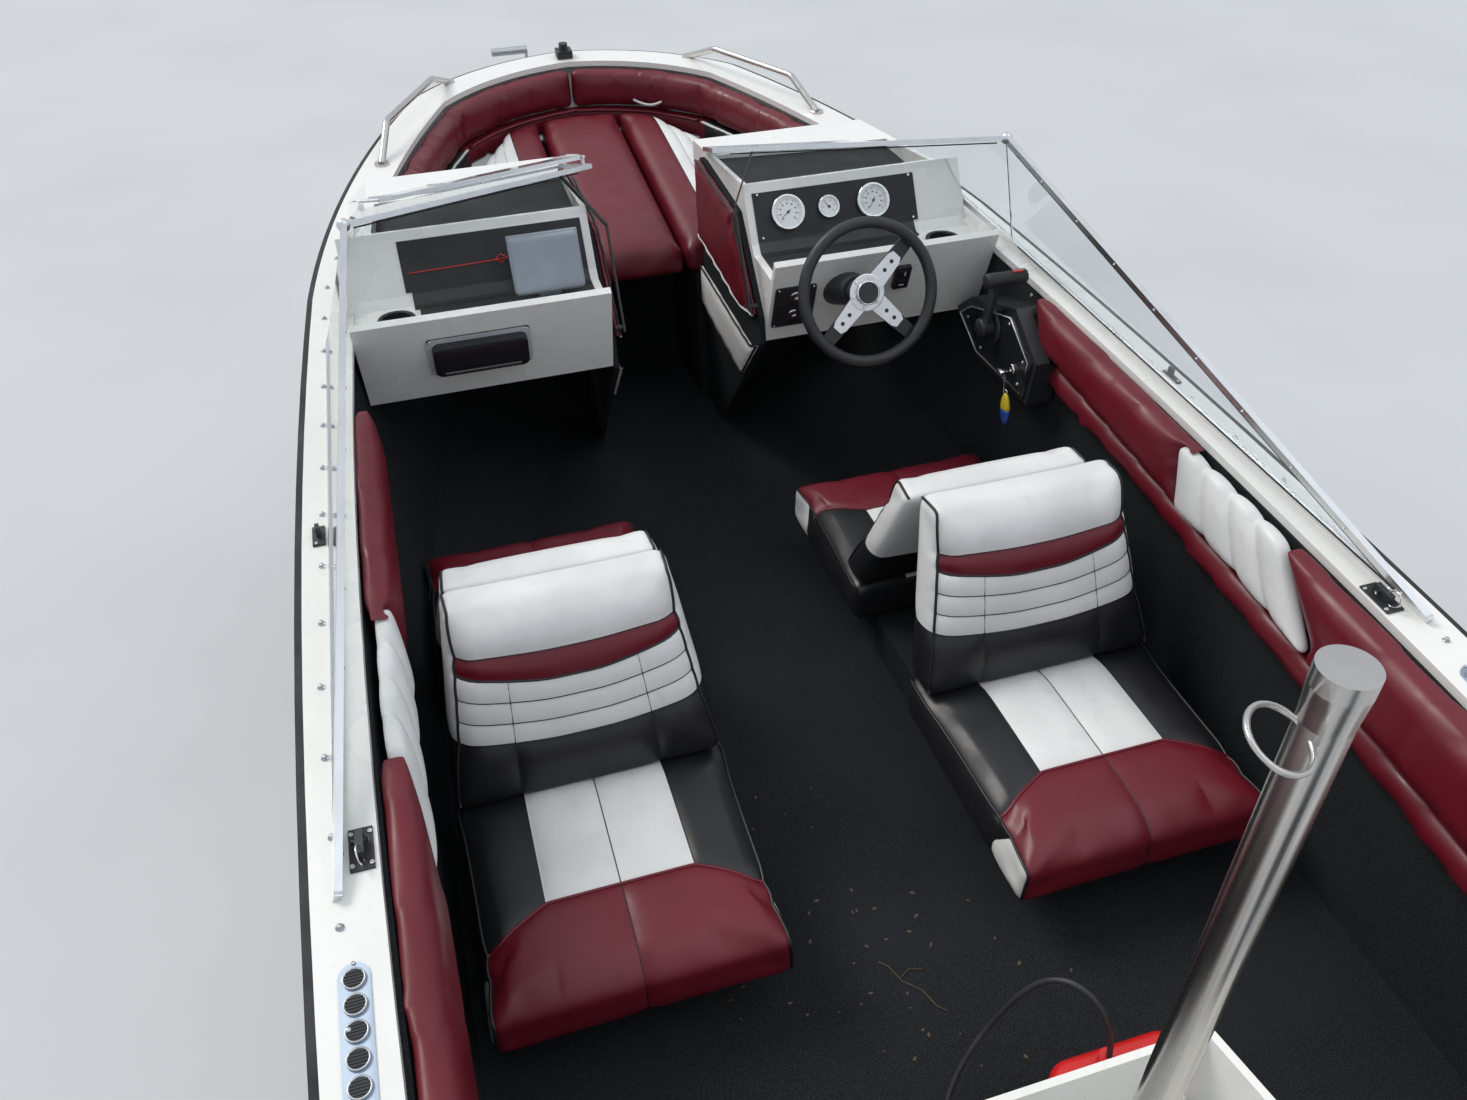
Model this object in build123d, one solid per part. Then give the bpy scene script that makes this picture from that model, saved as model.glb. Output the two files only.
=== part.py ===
from build123d import *
import os
from math import cos, hypot, radians, sin, tan

# An open bow speedboat of 4.5 m on its road trailer, with its outboard motor.
# Millimetres. +X is starboard, +Y is forward and +Z is up, and the floor is z = 0.
# Inside this file y is counted from the camera side of the transom, forwards,
# and every piece is moved back by MIDDLE when it is saved, so that the origin
# lies on the floor under the middle of the whole thing.

# Round pieces that stand on their foot
UPRIGHT = (Align.CENTER, Align.CENTER, Align.MIN)

# Driving sizes of the whole
COUPLING_TIP = 5420.0
MOTOR_AFT = -560.0
MIDDLE = (COUPLING_TIP + MOTOR_AFT) / 2

# Driving sizes of the hull
KEEL_HEIGHT = 450.0
CHINE_HEIGHT = 650.0
CHINE_RISE = 0.085
CHINE_RAIL = 16.0
SHEER_HEIGHT = 1282.0
SHEER_RISE = 0.066
HULL_WALL = 25.0
TRANSOM_WALL = 50.0
DECK_THICKNESS = 18.0
DECK_WIDTH = 90.0
DECK_LIP = 12.0
RUB_RAIL_DEPTH = 44.0
RUB_RAIL_PROUD = 14.0
FLOOR_TOP = 760.0
FLOOR_THICKNESS = 20.0
LINING = 10.0

# Half width and distance forward, from the transom corner to the stem
KEEL_PLAN = [(40, 70), (44, 1200), (42, 2300), (36, 2750), (26, 3150), (14, 3330), (0, 3400)]
CHINE_PLAN = [(845, 40), (870, 1400), (800, 2600), (650, 3200), (380, 3800), (190, 4030), (0, 4110)]
SHEER_PLAN = [(925, -80), (975, 1450), (925, 2850), (800, 3500), (560, 4140), (300, 4360), (0, 4450)]

# Cockpit opening and the walkway between the consoles
COCKPIT_AFT = 60.0
COCKPIT_FRONT = 2860.0
WALKWAY_HALF = 215.0
BOW_WELL_AFT = 3380.0
BOW_RIM = 100.0
LINER_AT_FLOOR = [(790, -200), (838, 1450), (790, 3300)]
LINER_AT_TOP = [(854, -200), (902, 1450), (854, 3300)]
LINER_TOP = 1700.0

# Splash well and the notch that the motor hangs in
WELL_FRONT = 630.0
WELL_FRONT_HALF = 240.0
WELL_AFT_HALF = 330.0
WELL_TOP = 1160.0
WELL_FLOOR = 985.0
WELL_WALL = 12.0
MOTOR_NOTCH = 970.0

# Bow seat
BOW_SEAT_AFT = 3250.0
BOW_INFILL_AFT = 3570.0
BOW_SEAT_HEIGHT = 1250.0
BOW_SEAT_RISE = 0.143
BOW_CUSHION = 90.0
BOW_INFILL_HALF = 145.0
BOW_CUSHION_OUTER = 430.0
BOW_BOLSTER_HEIGHT = 130.0
BOW_BOLSTER_DEPTH = 55.0
BOW_PANEL_DEPTH = 60.0
JOINT_GAP = 4.0

# Consoles
CONSOLE_OUTER = 850.0
CONSOLE_WALL = 12.0
SIDE_PANEL = 15.0

# Seats: middle of each across the boat, then the cushion sizes
SEAT_MIDDLES = [-525.0, 475.0]
SEAT_BASE_HEIGHT = 100.0
SEAT_CUSHION = 118.0
SEAT_WIDTH = 565.0
SEAT_BACK_TOP_WIDTH = 452.0
SEAT_AFT = 1045.0
SEAT_FORWARD = 2395.0

# Side bolsters
BOLSTER_DEPTH = 50.0
ROLL_DEPTH = 35.0
BOLSTER_AFT = 80.0
BOLSTER_FRONT = 2335.0

GAP = 0.3
PIN_PLAY = 0.05


def block(x_low, x_high, y_low, y_high, z_low, z_high):
    """A box by its faces."""
    middle = ((x_low + x_high) / 2, (y_low + y_high) / 2, (z_low + z_high) / 2)
    return Pos(*middle) * Box(x_high - x_low, y_high - y_low, z_high - z_low)


def side_prism(outline, x_low, x_high):
    """A side view outline of (y, z) carried across the boat."""
    wire = Polyline(*[(x_low, y, z) for y, z in outline], close=True)
    return extrude(make_face(wire), amount=x_high - x_low, dir=(1, 0, 0))


def plan_prism(outline, z_low, z_high):
    """A plan outline of (x, y) carried upwards."""
    wire = Polyline(*[(x, y, z_low) for x, y in outline], close=True)
    return extrude(make_face(wire), amount=z_high - z_low, dir=(0, 0, 1))


def cross_prism(outline, y_low, y_high):
    """A cross section outline of (x, z) carried forwards."""
    wire = Polyline(*[(x, y_low, z) for x, z in outline], close=True)
    return extrude(make_face(wire), amount=y_high - y_low, dir=(0, 1, 0))


def rod(start, end, radius, inner=0.0):
    """A round bar or tube from one point to another."""
    along = Vector(*end) - Vector(*start)
    plane = Plane(origin=start, z_dir=along)
    section = Circle(radius) - Circle(inner) if inner else Circle(radius)
    return extrude(plane * section, amount=along.length)


def bar(start, end, width, depth, flat):
    """A flat bar from one point to another, its width at right angles to flat."""
    along = Vector(*end) - Vector(*start)
    across = along.cross(Vector(*flat))
    plane = Plane(origin=start, x_dir=across, z_dir=along)
    return extrude(plane * Rectangle(width, depth), amount=along.length)


def bent_tube(points, radii, radius, inner=0.0):
    """A tube along straight runs with tangent bends."""
    path = FilletPolyline(*points, radius=radii)
    section = Circle(radius) - Circle(inner) if inner else Circle(radius)
    return sweep(Plane(origin=path @ 0, z_dir=path % 0) * section, path=path)


def both_sides(shape):
    """A starboard piece and its port twin."""
    return [shape, mirror(shape, about=Plane.YZ)]


def solids_of(shapes):
    """Every solid of a shape or of a nested list of shapes."""
    if isinstance(shapes, (list, tuple)):
        return [solid for shape in shapes for solid in solids_of(shape)]
    return list(shapes.solids())


def save(name, shapes):
    """Writes one node, moved so that the origin is under the middle."""
    moved = [Pos(0, -MIDDLE, 0) * solid for solid in solids_of(shapes)]
    export_step(moved[0] if len(moved) == 1 else Compound(moved), f"parts/{name}.step")


# The hull's levels: each is a closed outline in a plane that rises to the bow

def inset(plan, gap, stern=0.0):
    """A plan outline moved inwards by a gap, and forwards by stern at the transom."""
    moved = [(plan[0][0] - gap, plan[0][1] + stern)]
    for before, here, after in zip(plan, plan[1:], plan[2:]):
        across, forward = after[0] - before[0], after[1] - before[1]
        length = hypot(across, forward)
        moved.append((here[0] - gap * forward / length, here[1] + gap * across / length))
    moved.append((0, plan[-1][1] - gap))
    return moved


def level(plan, height, rise):
    """The closed outline of one level, as six arcs and the transom."""
    starboard = [Vector(x, y, height + rise * y) for x, y in plan]
    port = [Vector(-p.X, p.Y, p.Z) for p in starboard]
    arcs = [ThreePointArc(*starboard[i:i + 3]) for i in (0, 2, 4)]
    arcs += [ThreePointArc(*port[i:i + 3][::-1]) for i in (4, 2, 0)]
    return make_face(Wire([*[edge for arc in arcs for edge in arc.edges()],
                           Line(port[0], starboard[0]).edge()]))


def hull_form(gap, stern, lift, above=0.0):
    """The body between keel, chine and sheer, drawn in by a gap."""
    return loft([
        level(inset(KEEL_PLAN, gap * 0.2, stern), KEEL_HEIGHT + lift, 0),
        level(inset(CHINE_PLAN, gap, stern), CHINE_HEIGHT + lift * 0.4, CHINE_RISE),
        level(inset(SHEER_PLAN, gap, stern), SHEER_HEIGHT + above, SHEER_RISE),
    ], ruled=True)


def sheer_slab(gap, low, high, stern=0.0):
    """A slab with the plan of the sheer, between two heights above the sheer."""
    plan = inset(SHEER_PLAN, gap, stern)
    return loft([level(plan, SHEER_HEIGHT + low, SHEER_RISE),
                 level(plan, SHEER_HEIGHT + high, SHEER_RISE)], ruled=True)


def sheer_at(y):
    """Height of the hull's top edge."""
    return SHEER_HEIGHT + SHEER_RISE * y


def deck_at(y):
    """Height of the deck's top face."""
    return sheer_at(y) + DECK_THICKNESS


def cockpit_form(gap):
    """The space between the cockpit's side linings, drawn in by a gap."""
    faces = []
    for plan, height in ((LINER_AT_FLOOR, FLOOR_TOP), (LINER_AT_TOP, LINER_TOP)):
        starboard = [(x - gap, y, height) for x, y in plan]
        port = [(-x, y, z) for x, y, z in starboard]
        faces.append(make_face(Wire([
            ThreePointArc(*starboard).edge(),
            Line(starboard[2], port[2]).edge(),
            ThreePointArc(*port[::-1]).edge(),
            Line(port[0], starboard[0]).edge(),
        ])))
    return loft(faces, ruled=True)


def make_chine_rail():
    """The spray rail that stands out all along the chine."""
    return loft([
        level(inset(CHINE_PLAN, -CHINE_RAIL * 0.4), CHINE_HEIGHT - CHINE_RAIL * 0.6, CHINE_RISE),
        level(inset(CHINE_PLAN, -CHINE_RAIL), CHINE_HEIGHT + CHINE_RAIL, CHINE_RISE),
        level(inset(CHINE_PLAN, -CHINE_RAIL * 0.5), CHINE_HEIGHT + CHINE_RAIL * 1.6, CHINE_RISE),
    ], ruled=True)


def make_hull(outer, inner):
    """The moulded shell with its thick transom, cut down where the motor hangs."""
    outer = outer + make_chine_rail()
    hollow = inner & block(-1200, 1200, -300, 4600, FLOOR_TOP - FLOOR_THICKNESS, 1900)
    notch = block(-WELL_AFT_HALF, WELL_AFT_HALF, -300, 200, MOTOR_NOTCH, 1900)
    return outer - hollow - notch


def make_deck():
    """The deck moulding: a rim round the cockpit and the bow well."""
    plate = sheer_slab(-DECK_LIP, 0, DECK_THICKNESS)
    opening = sheer_slab(DECK_WIDTH, -40, 80) & block(-1200, 1200, COCKPIT_AFT, COCKPIT_FRONT, 900, 2000)
    bow_well = sheer_slab(BOW_RIM, -40, 80) & block(-1200, 1200, BOW_WELL_AFT, 4600, 900, 2000)
    walkway = block(-WALKWAY_HALF, WALKWAY_HALF, COCKPIT_FRONT - 1, BOW_WELL_AFT + 1, 900, 2000)
    notch = block(-WELL_AFT_HALF, WELL_AFT_HALF, -300, COCKPIT_AFT + 1, 900, 2000)
    return plate - opening - bow_well - walkway - notch


def make_rub_rail(outer, deck):
    """The rubber rail that covers the joint of hull and deck."""
    band = sheer_slab(-DECK_LIP - RUB_RAIL_PROUD, -RUB_RAIL_DEPTH + DECK_THICKNESS, DECK_THICKNESS - 3)
    core = sheer_slab(6, -RUB_RAIL_DEPTH - 20, 60)
    notch = block(-WELL_AFT_HALF, WELL_AFT_HALF, -300, 200, 900, 1900)
    return band - core - outer - deck - notch


def make_floor(inner):
    """The flat carpeted floor on the hull's bottom."""
    return inner & block(-1200, 1200, -300, 4600, FLOOR_TOP - FLOOR_THICKNESS, FLOOR_TOP)


def make_liners(inner, space):
    """The carpeted side linings, from the floor to the deck."""
    room = block(-1200, 1200, -300, BOW_SEAT_AFT, FLOOR_TOP, 1900)
    return (inner & room) - space


def bow_plane(y, lift):
    """Height of the bow seat's top, with a lift above it."""
    return BOW_SEAT_HEIGHT + BOW_SEAT_RISE * (y - BOW_INFILL_AFT) + lift


def bow_slab(y_low, y_high, low, high):
    """A slab that follows the bow seat's slope."""
    return side_prism([(y_low, bow_plane(y_low, low)), (y_high, bow_plane(y_high, low)),
                       (y_high, bow_plane(y_high, high)), (y_low, bow_plane(y_low, high))], -1000, 1000)


def make_bow_seat(inner):
    """The carpeted bow seat box, open between its wings for the walkway."""
    profile = [(BOW_SEAT_AFT, FLOOR_TOP), (4600, FLOOR_TOP), (4600, bow_plane(4600, 0)),
               (BOW_SEAT_AFT, bow_plane(BOW_SEAT_AFT, 0))]
    walkway = block(-BOW_INFILL_HALF - 30, BOW_INFILL_HALF + 30, 3000, BOW_INFILL_AFT, 700, 1900)
    return (inner & side_prism(profile, -1000, 1000)) - walkway


def make_bow_cushions(room):
    """The loose infill cushion and the two side cushions, each with its white end strip."""
    front = 4235.0
    infill = plan_prism([(-BOW_INFILL_HALF, BOW_INFILL_AFT - 20), (BOW_INFILL_HALF, BOW_INFILL_AFT - 20),
                         (BOW_INFILL_HALF, front), (-BOW_INFILL_HALF, front)], 1100, 1700)
    inner_edge = BOW_INFILL_HALF + JOINT_GAP
    side = plan_prism([(inner_edge, BOW_SEAT_AFT + 5), (BOW_CUSHION_OUTER, BOW_SEAT_AFT + 5),
                       (BOW_CUSHION_OUTER, 3900), (270, 4170), (inner_edge, front)], 1100, 1700)
    slab = bow_slab(3000, 4600, 0, BOW_CUSHION)
    return [piece & slab & room for piece in (infill, *both_sides(side))]


def make_bow_panels(inner):
    """The upholstered side panels under the bow bolsters, which hold the pockets."""
    aft, forward = BOW_SEAT_AFT + 2, 4600
    top = -BOW_BOLSTER_HEIGHT - 1
    room = side_prism([(aft, bow_plane(aft, 0)), (forward, bow_plane(forward, 0)),
                       (forward, sheer_at(forward) + top), (aft, sheer_at(aft) + top)], -1000, 1000)
    hollow = sheer_slab(BOW_RIM + BOW_PANEL_DEPTH, -500, 300)
    return (inner & room) - hollow


def make_bow_bolsters(inner, cushions):
    """The two padded rolls round the inside of the bow, meeting at the stem."""
    band = sheer_slab(BOW_RIM + GAP, -BOW_BOLSTER_HEIGHT, DECK_THICKNESS)
    band -= sheer_slab(0, -BOW_BOLSTER_HEIGHT - 40, 1) - inner
    band -= sheer_slab(BOW_RIM + BOW_BOLSTER_DEPTH, -BOW_BOLSTER_HEIGHT - 40, 80)
    band &= block(-1200, 1200, BOW_WELL_AFT + 1, 4600, 900, 1900)
    band -= block(-JOINT_GAP / 2, JOINT_GAP / 2, 3000, 4600, 900, 1900)
    for cushion in cushions:
        band -= cushion
    return [piece for piece in band.solids() if piece.volume > 2e6]


# Consoles: the same moulding, once for each side of the walkway

DASH_OUTLINE = [(2662, 1262), (2578, 1512), (2592, 1522), (2612, 1462), (2762, 1468), (2782, 1490),
                (2850, 1612), (2857, 1630)]
PANEL_LOW = (2782, 1490)
PANEL_HIGH = (2850, 1612)
COWL_AFT_HEIGHT = 1630.0
COWL_FRONT_HEIGHT = 1586.0
MAT_FLOOR = [(2868, 1568), (3180, 1588)]
MAT_PLAN = [(228, 2868), (228, 3180), (745, 3125), (762, 2868)]
MAT = 3.0


def mat_slab(low, high, margin=0.0):
    """A slab over the recess in the cowl's top, between two heights above its floor."""
    floor = [(y, z + low) for y, z in MAT_FLOOR] + [(y, z + high) for y, z in MAT_FLOOR[::-1]]
    plan = make_face(Polyline(*[(x, y, 1400) for x, y in MAT_PLAN], close=True))
    if margin:
        plan = offset(plan, -margin)
    return extrude(plan, amount=500, dir=(0, 0, 1)) & side_prism(floor, 0, 1000)


def make_console(liners, deck):
    """The starboard console: fascia, tray, gauge slope and the cowl on the deck."""
    front, low = 2900, 1240
    outline = DASH_OUTLINE + [(front, 1630), (front, low), (2670, low)]
    face = make_face(Polyline(*[(WALKWAY_HALF, y, z) for y, z in outline], close=True))
    outer = extrude(face, amount=CONSOLE_OUTER - WALKWAY_HALF, dir=(1, 0, 0))
    inner = extrude(offset(face, -CONSOLE_WALL), amount=CONSOLE_OUTER, dir=(1, 0, 0))
    inner = Pos(CONSOLE_WALL, 0, 0) * inner
    window = block(0, 1200, 2400, COCKPIT_FRONT - 3, 1262, 1900)
    dash = (outer - inner) & window
    aft, forward = COCKPIT_FRONT - 3, BOW_WELL_AFT - 2
    sections = []
    ends = ((aft, COWL_AFT_HEIGHT, 778, 872), (forward, COWL_FRONT_HEIGHT, 762, 830))
    for y, height, shoulder, foot in ends:
        points = [(WALKWAY_HALF, deck_at(y)), (WALKWAY_HALF, height), (shoulder, height), (foot, deck_at(y))]
        sections.append(make_face(Polyline(*[(x, y, z) for x, z in points], close=True)))
    cowl = loft(sections, ruled=True)
    recess = mat_slab(0, 200)
    return (dash - liners - deck) + (cowl - recess - dash) - cup_bore()


def make_dash_linings(console):
    """The black sheets on the gauge slope, in the trays and in the cowl recesses."""
    along = Vector(0, PANEL_HIGH[0] - PANEL_LOW[0], PANEL_HIGH[1] - PANEL_LOW[1]).normalized()
    proud = Vector(0, -along.Z, along.Y) * MAT
    low = Vector(0, *PANEL_LOW) + along * 6
    high = Vector(0, *PANEL_HIGH) - along * 6
    slope = [(p.Y, p.Z) for p in (low, high, high + proud, low + proud)]
    panel = side_prism(slope, 236, 706)
    tray = side_prism([(2622, 1462.4), (2755, 1467.7), (2755, 1470.7), (2622, 1465.4)], 236, 680)
    mat = mat_slab(0, MAT, 1.0)
    return [both_sides(sheet - console) for sheet in (panel, tray, mat)]


WALK_PANEL = [(3092, 760), (2812, 1080), (2655, 1257), (2672, 1331), (2868, 1553), (3208, 1580), (3248, 1577),
              (3248, 760)]
WALK_PAD = [(2676, 1333), (2876, 1558), (3208, 1578), (3246, 1575), (3246, 1338), (2810, 1302)]
WALK_SKIRT = [(3246, 1240), (2729, 1221), (2652, 1257), (2814, 1078), (3246, 1110)]


def make_walkway_sides():
    """Each console's side to the walkway: carpeted panel, white skirt and padded panel."""
    inner = WALKWAY_HALF - SIDE_PANEL
    panels = both_sides(side_prism(WALK_PANEL, inner, WALKWAY_HALF))
    skirts = both_sides(side_prism(WALK_SKIRT, inner - 14, inner))
    pads = both_sides(side_prism(WALK_PAD, inner - 18, inner))
    return panels, skirts, pads


GAUGES = [(328, 46), (446, 29.5), (577, 46)]


def slope_plane(x, share, proud):
    """A plane on the gauge slope, at a share of its height and facing out of it."""
    along = Vector(0, PANEL_HIGH[0] - PANEL_LOW[0], PANEL_HIGH[1] - PANEL_LOW[1])
    normal = Vector(0, -along.Z, along.Y).normalized()
    centre = Vector(x, *PANEL_LOW) + along * share + normal * proud
    return Plane(origin=centre, x_dir=(1, 0, 0), z_dir=normal)


def make_gauges():
    """Three round instruments: a chrome ring round a recessed dial."""
    shapes = []
    for x, radius in GAUGES:
        body = Cylinder(radius, 12, align=UPRIGHT)
        dial = Pos(0, 0, 8) * Cylinder(radius * 0.84, 12, align=UPRIGHT)
        shapes.append(slope_plane(x, 0.52, MAT + 0.1) * (body - dial))
    return shapes


# Fascia: the leaning face under the dash, with switches, radio flap and the steering boss

def fascia_plane(x, height, proud=0.0):
    """A plane on the fascia at a height, facing aft out of it."""
    (y_low, z_low), (y_high, z_high) = DASH_OUTLINE[0], DASH_OUTLINE[1]
    along = Vector(0, y_high - y_low, z_high - z_low).normalized()
    normal = Vector(0, -along.Z, along.Y)
    share = (height - z_low) / (z_high - z_low)
    centre = Vector(x, y_low + (y_high - y_low) * share, height) + normal * proud
    return Plane(origin=centre, x_dir=(1, 0, 0), z_dir=normal)


def fascia_plate(x_low, x_high, z_low, z_high, depth, corner=8):
    """A round-cornered plate lying on the fascia."""
    plane = fascia_plane((x_low + x_high) / 2, (z_low + z_high) / 2)
    return plane * extrude(RectangleRounded(x_high - x_low, z_high - z_low, corner), amount=depth)


def make_switch_panels():
    """The helm's switch panel with its knobs, and the rocker switch."""
    panel = fascia_plate(224, 339, 1306, 1446, 5)
    for height in (1411, 1351):
        panel += fascia_plane(282, height, 5) * Cylinder(11, 12, align=UPRIGHT)
    rocker = fascia_plate(560, 605, 1385, 1460, 12, 4)
    return [panel, rocker]


def make_radio_cover():
    """The radio's splash cover: a gasketed frame and its clear flap."""
    frame = fascia_plate(-682, -427, 1335, 1455, 6)
    flap = fascia_plane(-554, 1395, 6) * extrude(RectangleRounded(235, 96, 18), amount=22)
    return frame + flap


WHEEL_CENTRE = Vector(420, 2462, 1465)
WHEEL_AXIS = Vector(0, -0.933, 0.36).normalized()
WHEEL_RADIUS = 173.0
WHEEL_GRIP = 15.0
SPOKE_TURN = 43.0
SHAFT = 10.0
BOSS_FRONT = 66.0


def wheel_plane(toward=0.0):
    """The steering wheel's plane, moved along its axis to the driver."""
    return Plane(origin=WHEEL_CENTRE + WHEEL_AXIS * toward, x_dir=(1, 0, 0), z_dir=WHEEL_AXIS)


def make_steering_boss():
    """The tilted cone on the fascia that carries the steering shaft."""
    base = fascia_plane(WHEEL_CENTRE.X, 1407)
    front = wheel_plane(-BOSS_FRONT)
    cone = loft([base * Circle(58), front * Circle(37)], ruled=True)
    bore = wheel_plane(-BOSS_FRONT - 40) * Cylinder(SHAFT + 0.05, 60, align=UPRIGHT)
    return cone - bore


def make_steering_wheel():
    """Three plate spokes on a hub, in a padded rim, with the shaft behind."""
    rim = wheel_plane(18) * Torus(WHEEL_RADIUS, WHEEL_GRIP)
    hub = wheel_plane(-BOSS_FRONT + 6) * Cone(30, 40, BOSS_FRONT - 6, align=UPRIGHT)
    plate = wheel_plane(0) * Cylinder(44, 7, align=UPRIGHT)
    cap = wheel_plane(7) * Cylinder(27, 12, align=UPRIGHT)
    shaft = wheel_plane(-BOSS_FRONT - 35) * Cylinder(SHAFT, 60, align=UPRIGHT)
    wheel = rim + hub + plate + cap + shaft
    for angle in (0, 180, 270):
        turn = Rot(0, 0, angle + SPOKE_TURN)
        outline = Polygon((30, -24), (WHEEL_RADIUS - 4, -17), (WHEEL_RADIUS - 4, 17), (30, 24), align=None)
        spoke = wheel_plane(0) * (turn * extrude(outline, amount=7))
        rise = wheel_plane(0) * (turn * Pos(WHEEL_RADIUS - 6, 0, 9) * Box(14, 30, 18))
        wheel += spoke
        wheel += rise
    return wheel


# Display under its grey cover, in the port console's tray

DISPLAY_X = -352.0


def make_display(linings):
    """The flat display with its fitted cover, on a small foot in the tray."""
    cover = Pos(DISPLAY_X, 2700, 1560) * Rot(-24, 0, 0) * Box(178, 30, 142)
    foot = block(DISPLAY_X - 30, DISPLAY_X + 30, 2690, 2740, 1469.5, 1520)
    body = cover + foot
    for lining in linings:
        body -= lining
    return body


# Helm side: control box and its lever

CONTROL_BOX = [(2640, 1285), (2500, 1195), (2215, 1200), (2195, 1330), (2330, 1420), (2560, 1350)]
SIDE_SHEET = [(2850, 1460), (2341, 1440), (2271, 1318), (2300, 1160), (2700, 1160)]


def make_side_sheet(space, deck, console):
    """The black panel on the helm's side lining."""
    band = space - cockpit_form(6)
    return (band & side_prism(SIDE_SHEET, 500, 1000)) - deck - console


def make_control_box(bolsters):
    """The remote control: its housing, the lever and the cross grip."""
    box = side_prism(CONTROL_BOX, 782, 1000) & cockpit_form(6.3)
    for bolster in bolsters:
        box -= bolster
    hub = rod((740, 2420, 1330), (783, 2420, 1330), 26)
    arm = bar((752, 2420, 1330), (752, 2395, 1470), 30, 12, (1, 0, 0))
    grip = rod((720, 2393, 1478), (835, 2393, 1478), 16)
    return box + hub + arm + grip


# Windscreen

SCREEN_CORNER = Vector(800, 2518, 1794)
SCREEN_INNER = Vector(180, 2985, 1686)
SCREEN_FOOT = Vector(215, 3215, 1612)
SCREEN_BASE = Vector(785, 3150, 1590)
SCREEN_SIDE = Vector(905, 2600, 1478)
SCREEN_TIP = Vector(945, 1084, 1378)
CORNER_RADIUS = 15.0
RAIL_WIDTH = 24.0
RAIL_DEPTH = 12.0
PANE = 5.0


def plane_normal(a, b, c):
    """Unit normal of three points."""
    return (b - a).cross(c - a).normalized()


def make_screen_frames(deck, console):
    """The aluminium rails and inner post of a fixed windscreen side."""
    front = plane_normal(SCREEN_CORNER, SCREEN_BASE, SCREEN_INNER)
    corner = plane_normal(SCREEN_CORNER, SCREEN_SIDE, SCREEN_BASE)
    side = plane_normal(SCREEN_CORNER, SCREEN_TIP, SCREEN_SIDE)
    runs = [(SCREEN_TIP, SCREEN_CORNER, side), (SCREEN_CORNER, SCREEN_INNER, front),
            (SCREEN_INNER, SCREEN_FOOT, front), (SCREEN_FOOT, SCREEN_BASE, front),
            (SCREEN_BASE, SCREEN_SIDE, corner), (SCREEN_SIDE, SCREEN_TIP, side)]
    frame = Pos(*SCREEN_CORNER) * Sphere(CORNER_RADIUS)
    for start, end, flat in runs:
        stretch = (end - start).normalized() * 6
        frame += bar(tuple(start - stretch), tuple(end + stretch), RAIL_WIDTH, RAIL_DEPTH, tuple(flat))
    return frame - deck - console


def thin_edge(start, end, flat):
    """The pane's thickness over one of its straight edges."""
    half = flat * (PANE / 2)
    corners = (start - half, end - half, end + half, start + half)
    return make_face(Polyline(*[tuple(corner) for corner in corners], close=True))


def make_screen_panes(frame, deck, console, linings):
    """The twisted front pane, the corner pane and the side pane, seated in the rails."""
    front = plane_normal(SCREEN_CORNER, SCREEN_BASE, SCREEN_INNER)
    panes = [loft([thin_edge(SCREEN_CORNER, SCREEN_BASE, front), thin_edge(SCREEN_INNER, SCREEN_FOOT, front)],
                  ruled=True)]
    triangles = ((SCREEN_CORNER, SCREEN_BASE, SCREEN_SIDE), (SCREEN_CORNER, SCREEN_SIDE, SCREEN_TIP))
    for top, low, far in triangles:
        corners = [top + (far - top).normalized() * PANE, low + (far - low).normalized() * PANE, far]
        normal = plane_normal(*corners)
        start = [tuple(corner - normal * PANE / 2) for corner in corners]
        panes.append(extrude(make_face(Polyline(*start, close=True)), amount=PANE, dir=tuple(normal)))
    seated = []
    for pane in panes:
        for neighbour in (frame, deck, console, *linings):
            pane = pane - neighbour
        seated.append(pane)
    return seated


# Centre window: it closes the walkway, and is stored folded over the port pane

FOLD = 184.0
FOLD_OFFSET = Vector(-0.9, 8.0, 24.7)
HINGE_PIN = 4.0
HINGE_SLEEVE = 7.5
WINDOW_WIDTH = 560.0
WINDOW_BAR = (18.0, 10.0)
WINDOW_PANE = 4.0
WINDOW_TOP = 0.06
WINDOW_FOOT = 0.9
STRAPS = [55.0, 200.0]


def hinge_point(share, offset=1.0):
    """A point on the port post (offset 0) or on the hinge's axis (offset 1)."""
    low = Vector(-SCREEN_FOOT.X, SCREEN_FOOT.Y, SCREEN_FOOT.Z)
    high = Vector(-SCREEN_INNER.X, SCREEN_INNER.Y, SCREEN_INNER.Z)
    return tuple(high + (low - high) * share + FOLD_OFFSET * offset)


def folded(shape):
    """Turns the closed centre window about its hinge, up and over to port."""
    along = Vector(*hinge_point(1)) - Vector(*hinge_point(0))
    return shape.rotate(Axis(hinge_point(0), tuple(along)), -FOLD)


def make_window_pin():
    """The hinge pin along the port post, on two lugs."""
    pin = rod(hinge_point(0.06), hinge_point(0.94), HINGE_PIN)
    for share in (0.12, 0.88):
        pin += rod(hinge_point(share, 0), hinge_point(share, 1.1), 5)
    return pin


def window_point(share, reach):
    """A point of the closed centre window: down the hinge's side and across from it."""
    hinge = Vector(*hinge_point(share))
    lean = (SCREEN_FOOT.X - SCREEN_INNER.X) * share * 2 * reach / WINDOW_WIDTH
    return hinge + Vector(reach + lean, 0, 0)


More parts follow.
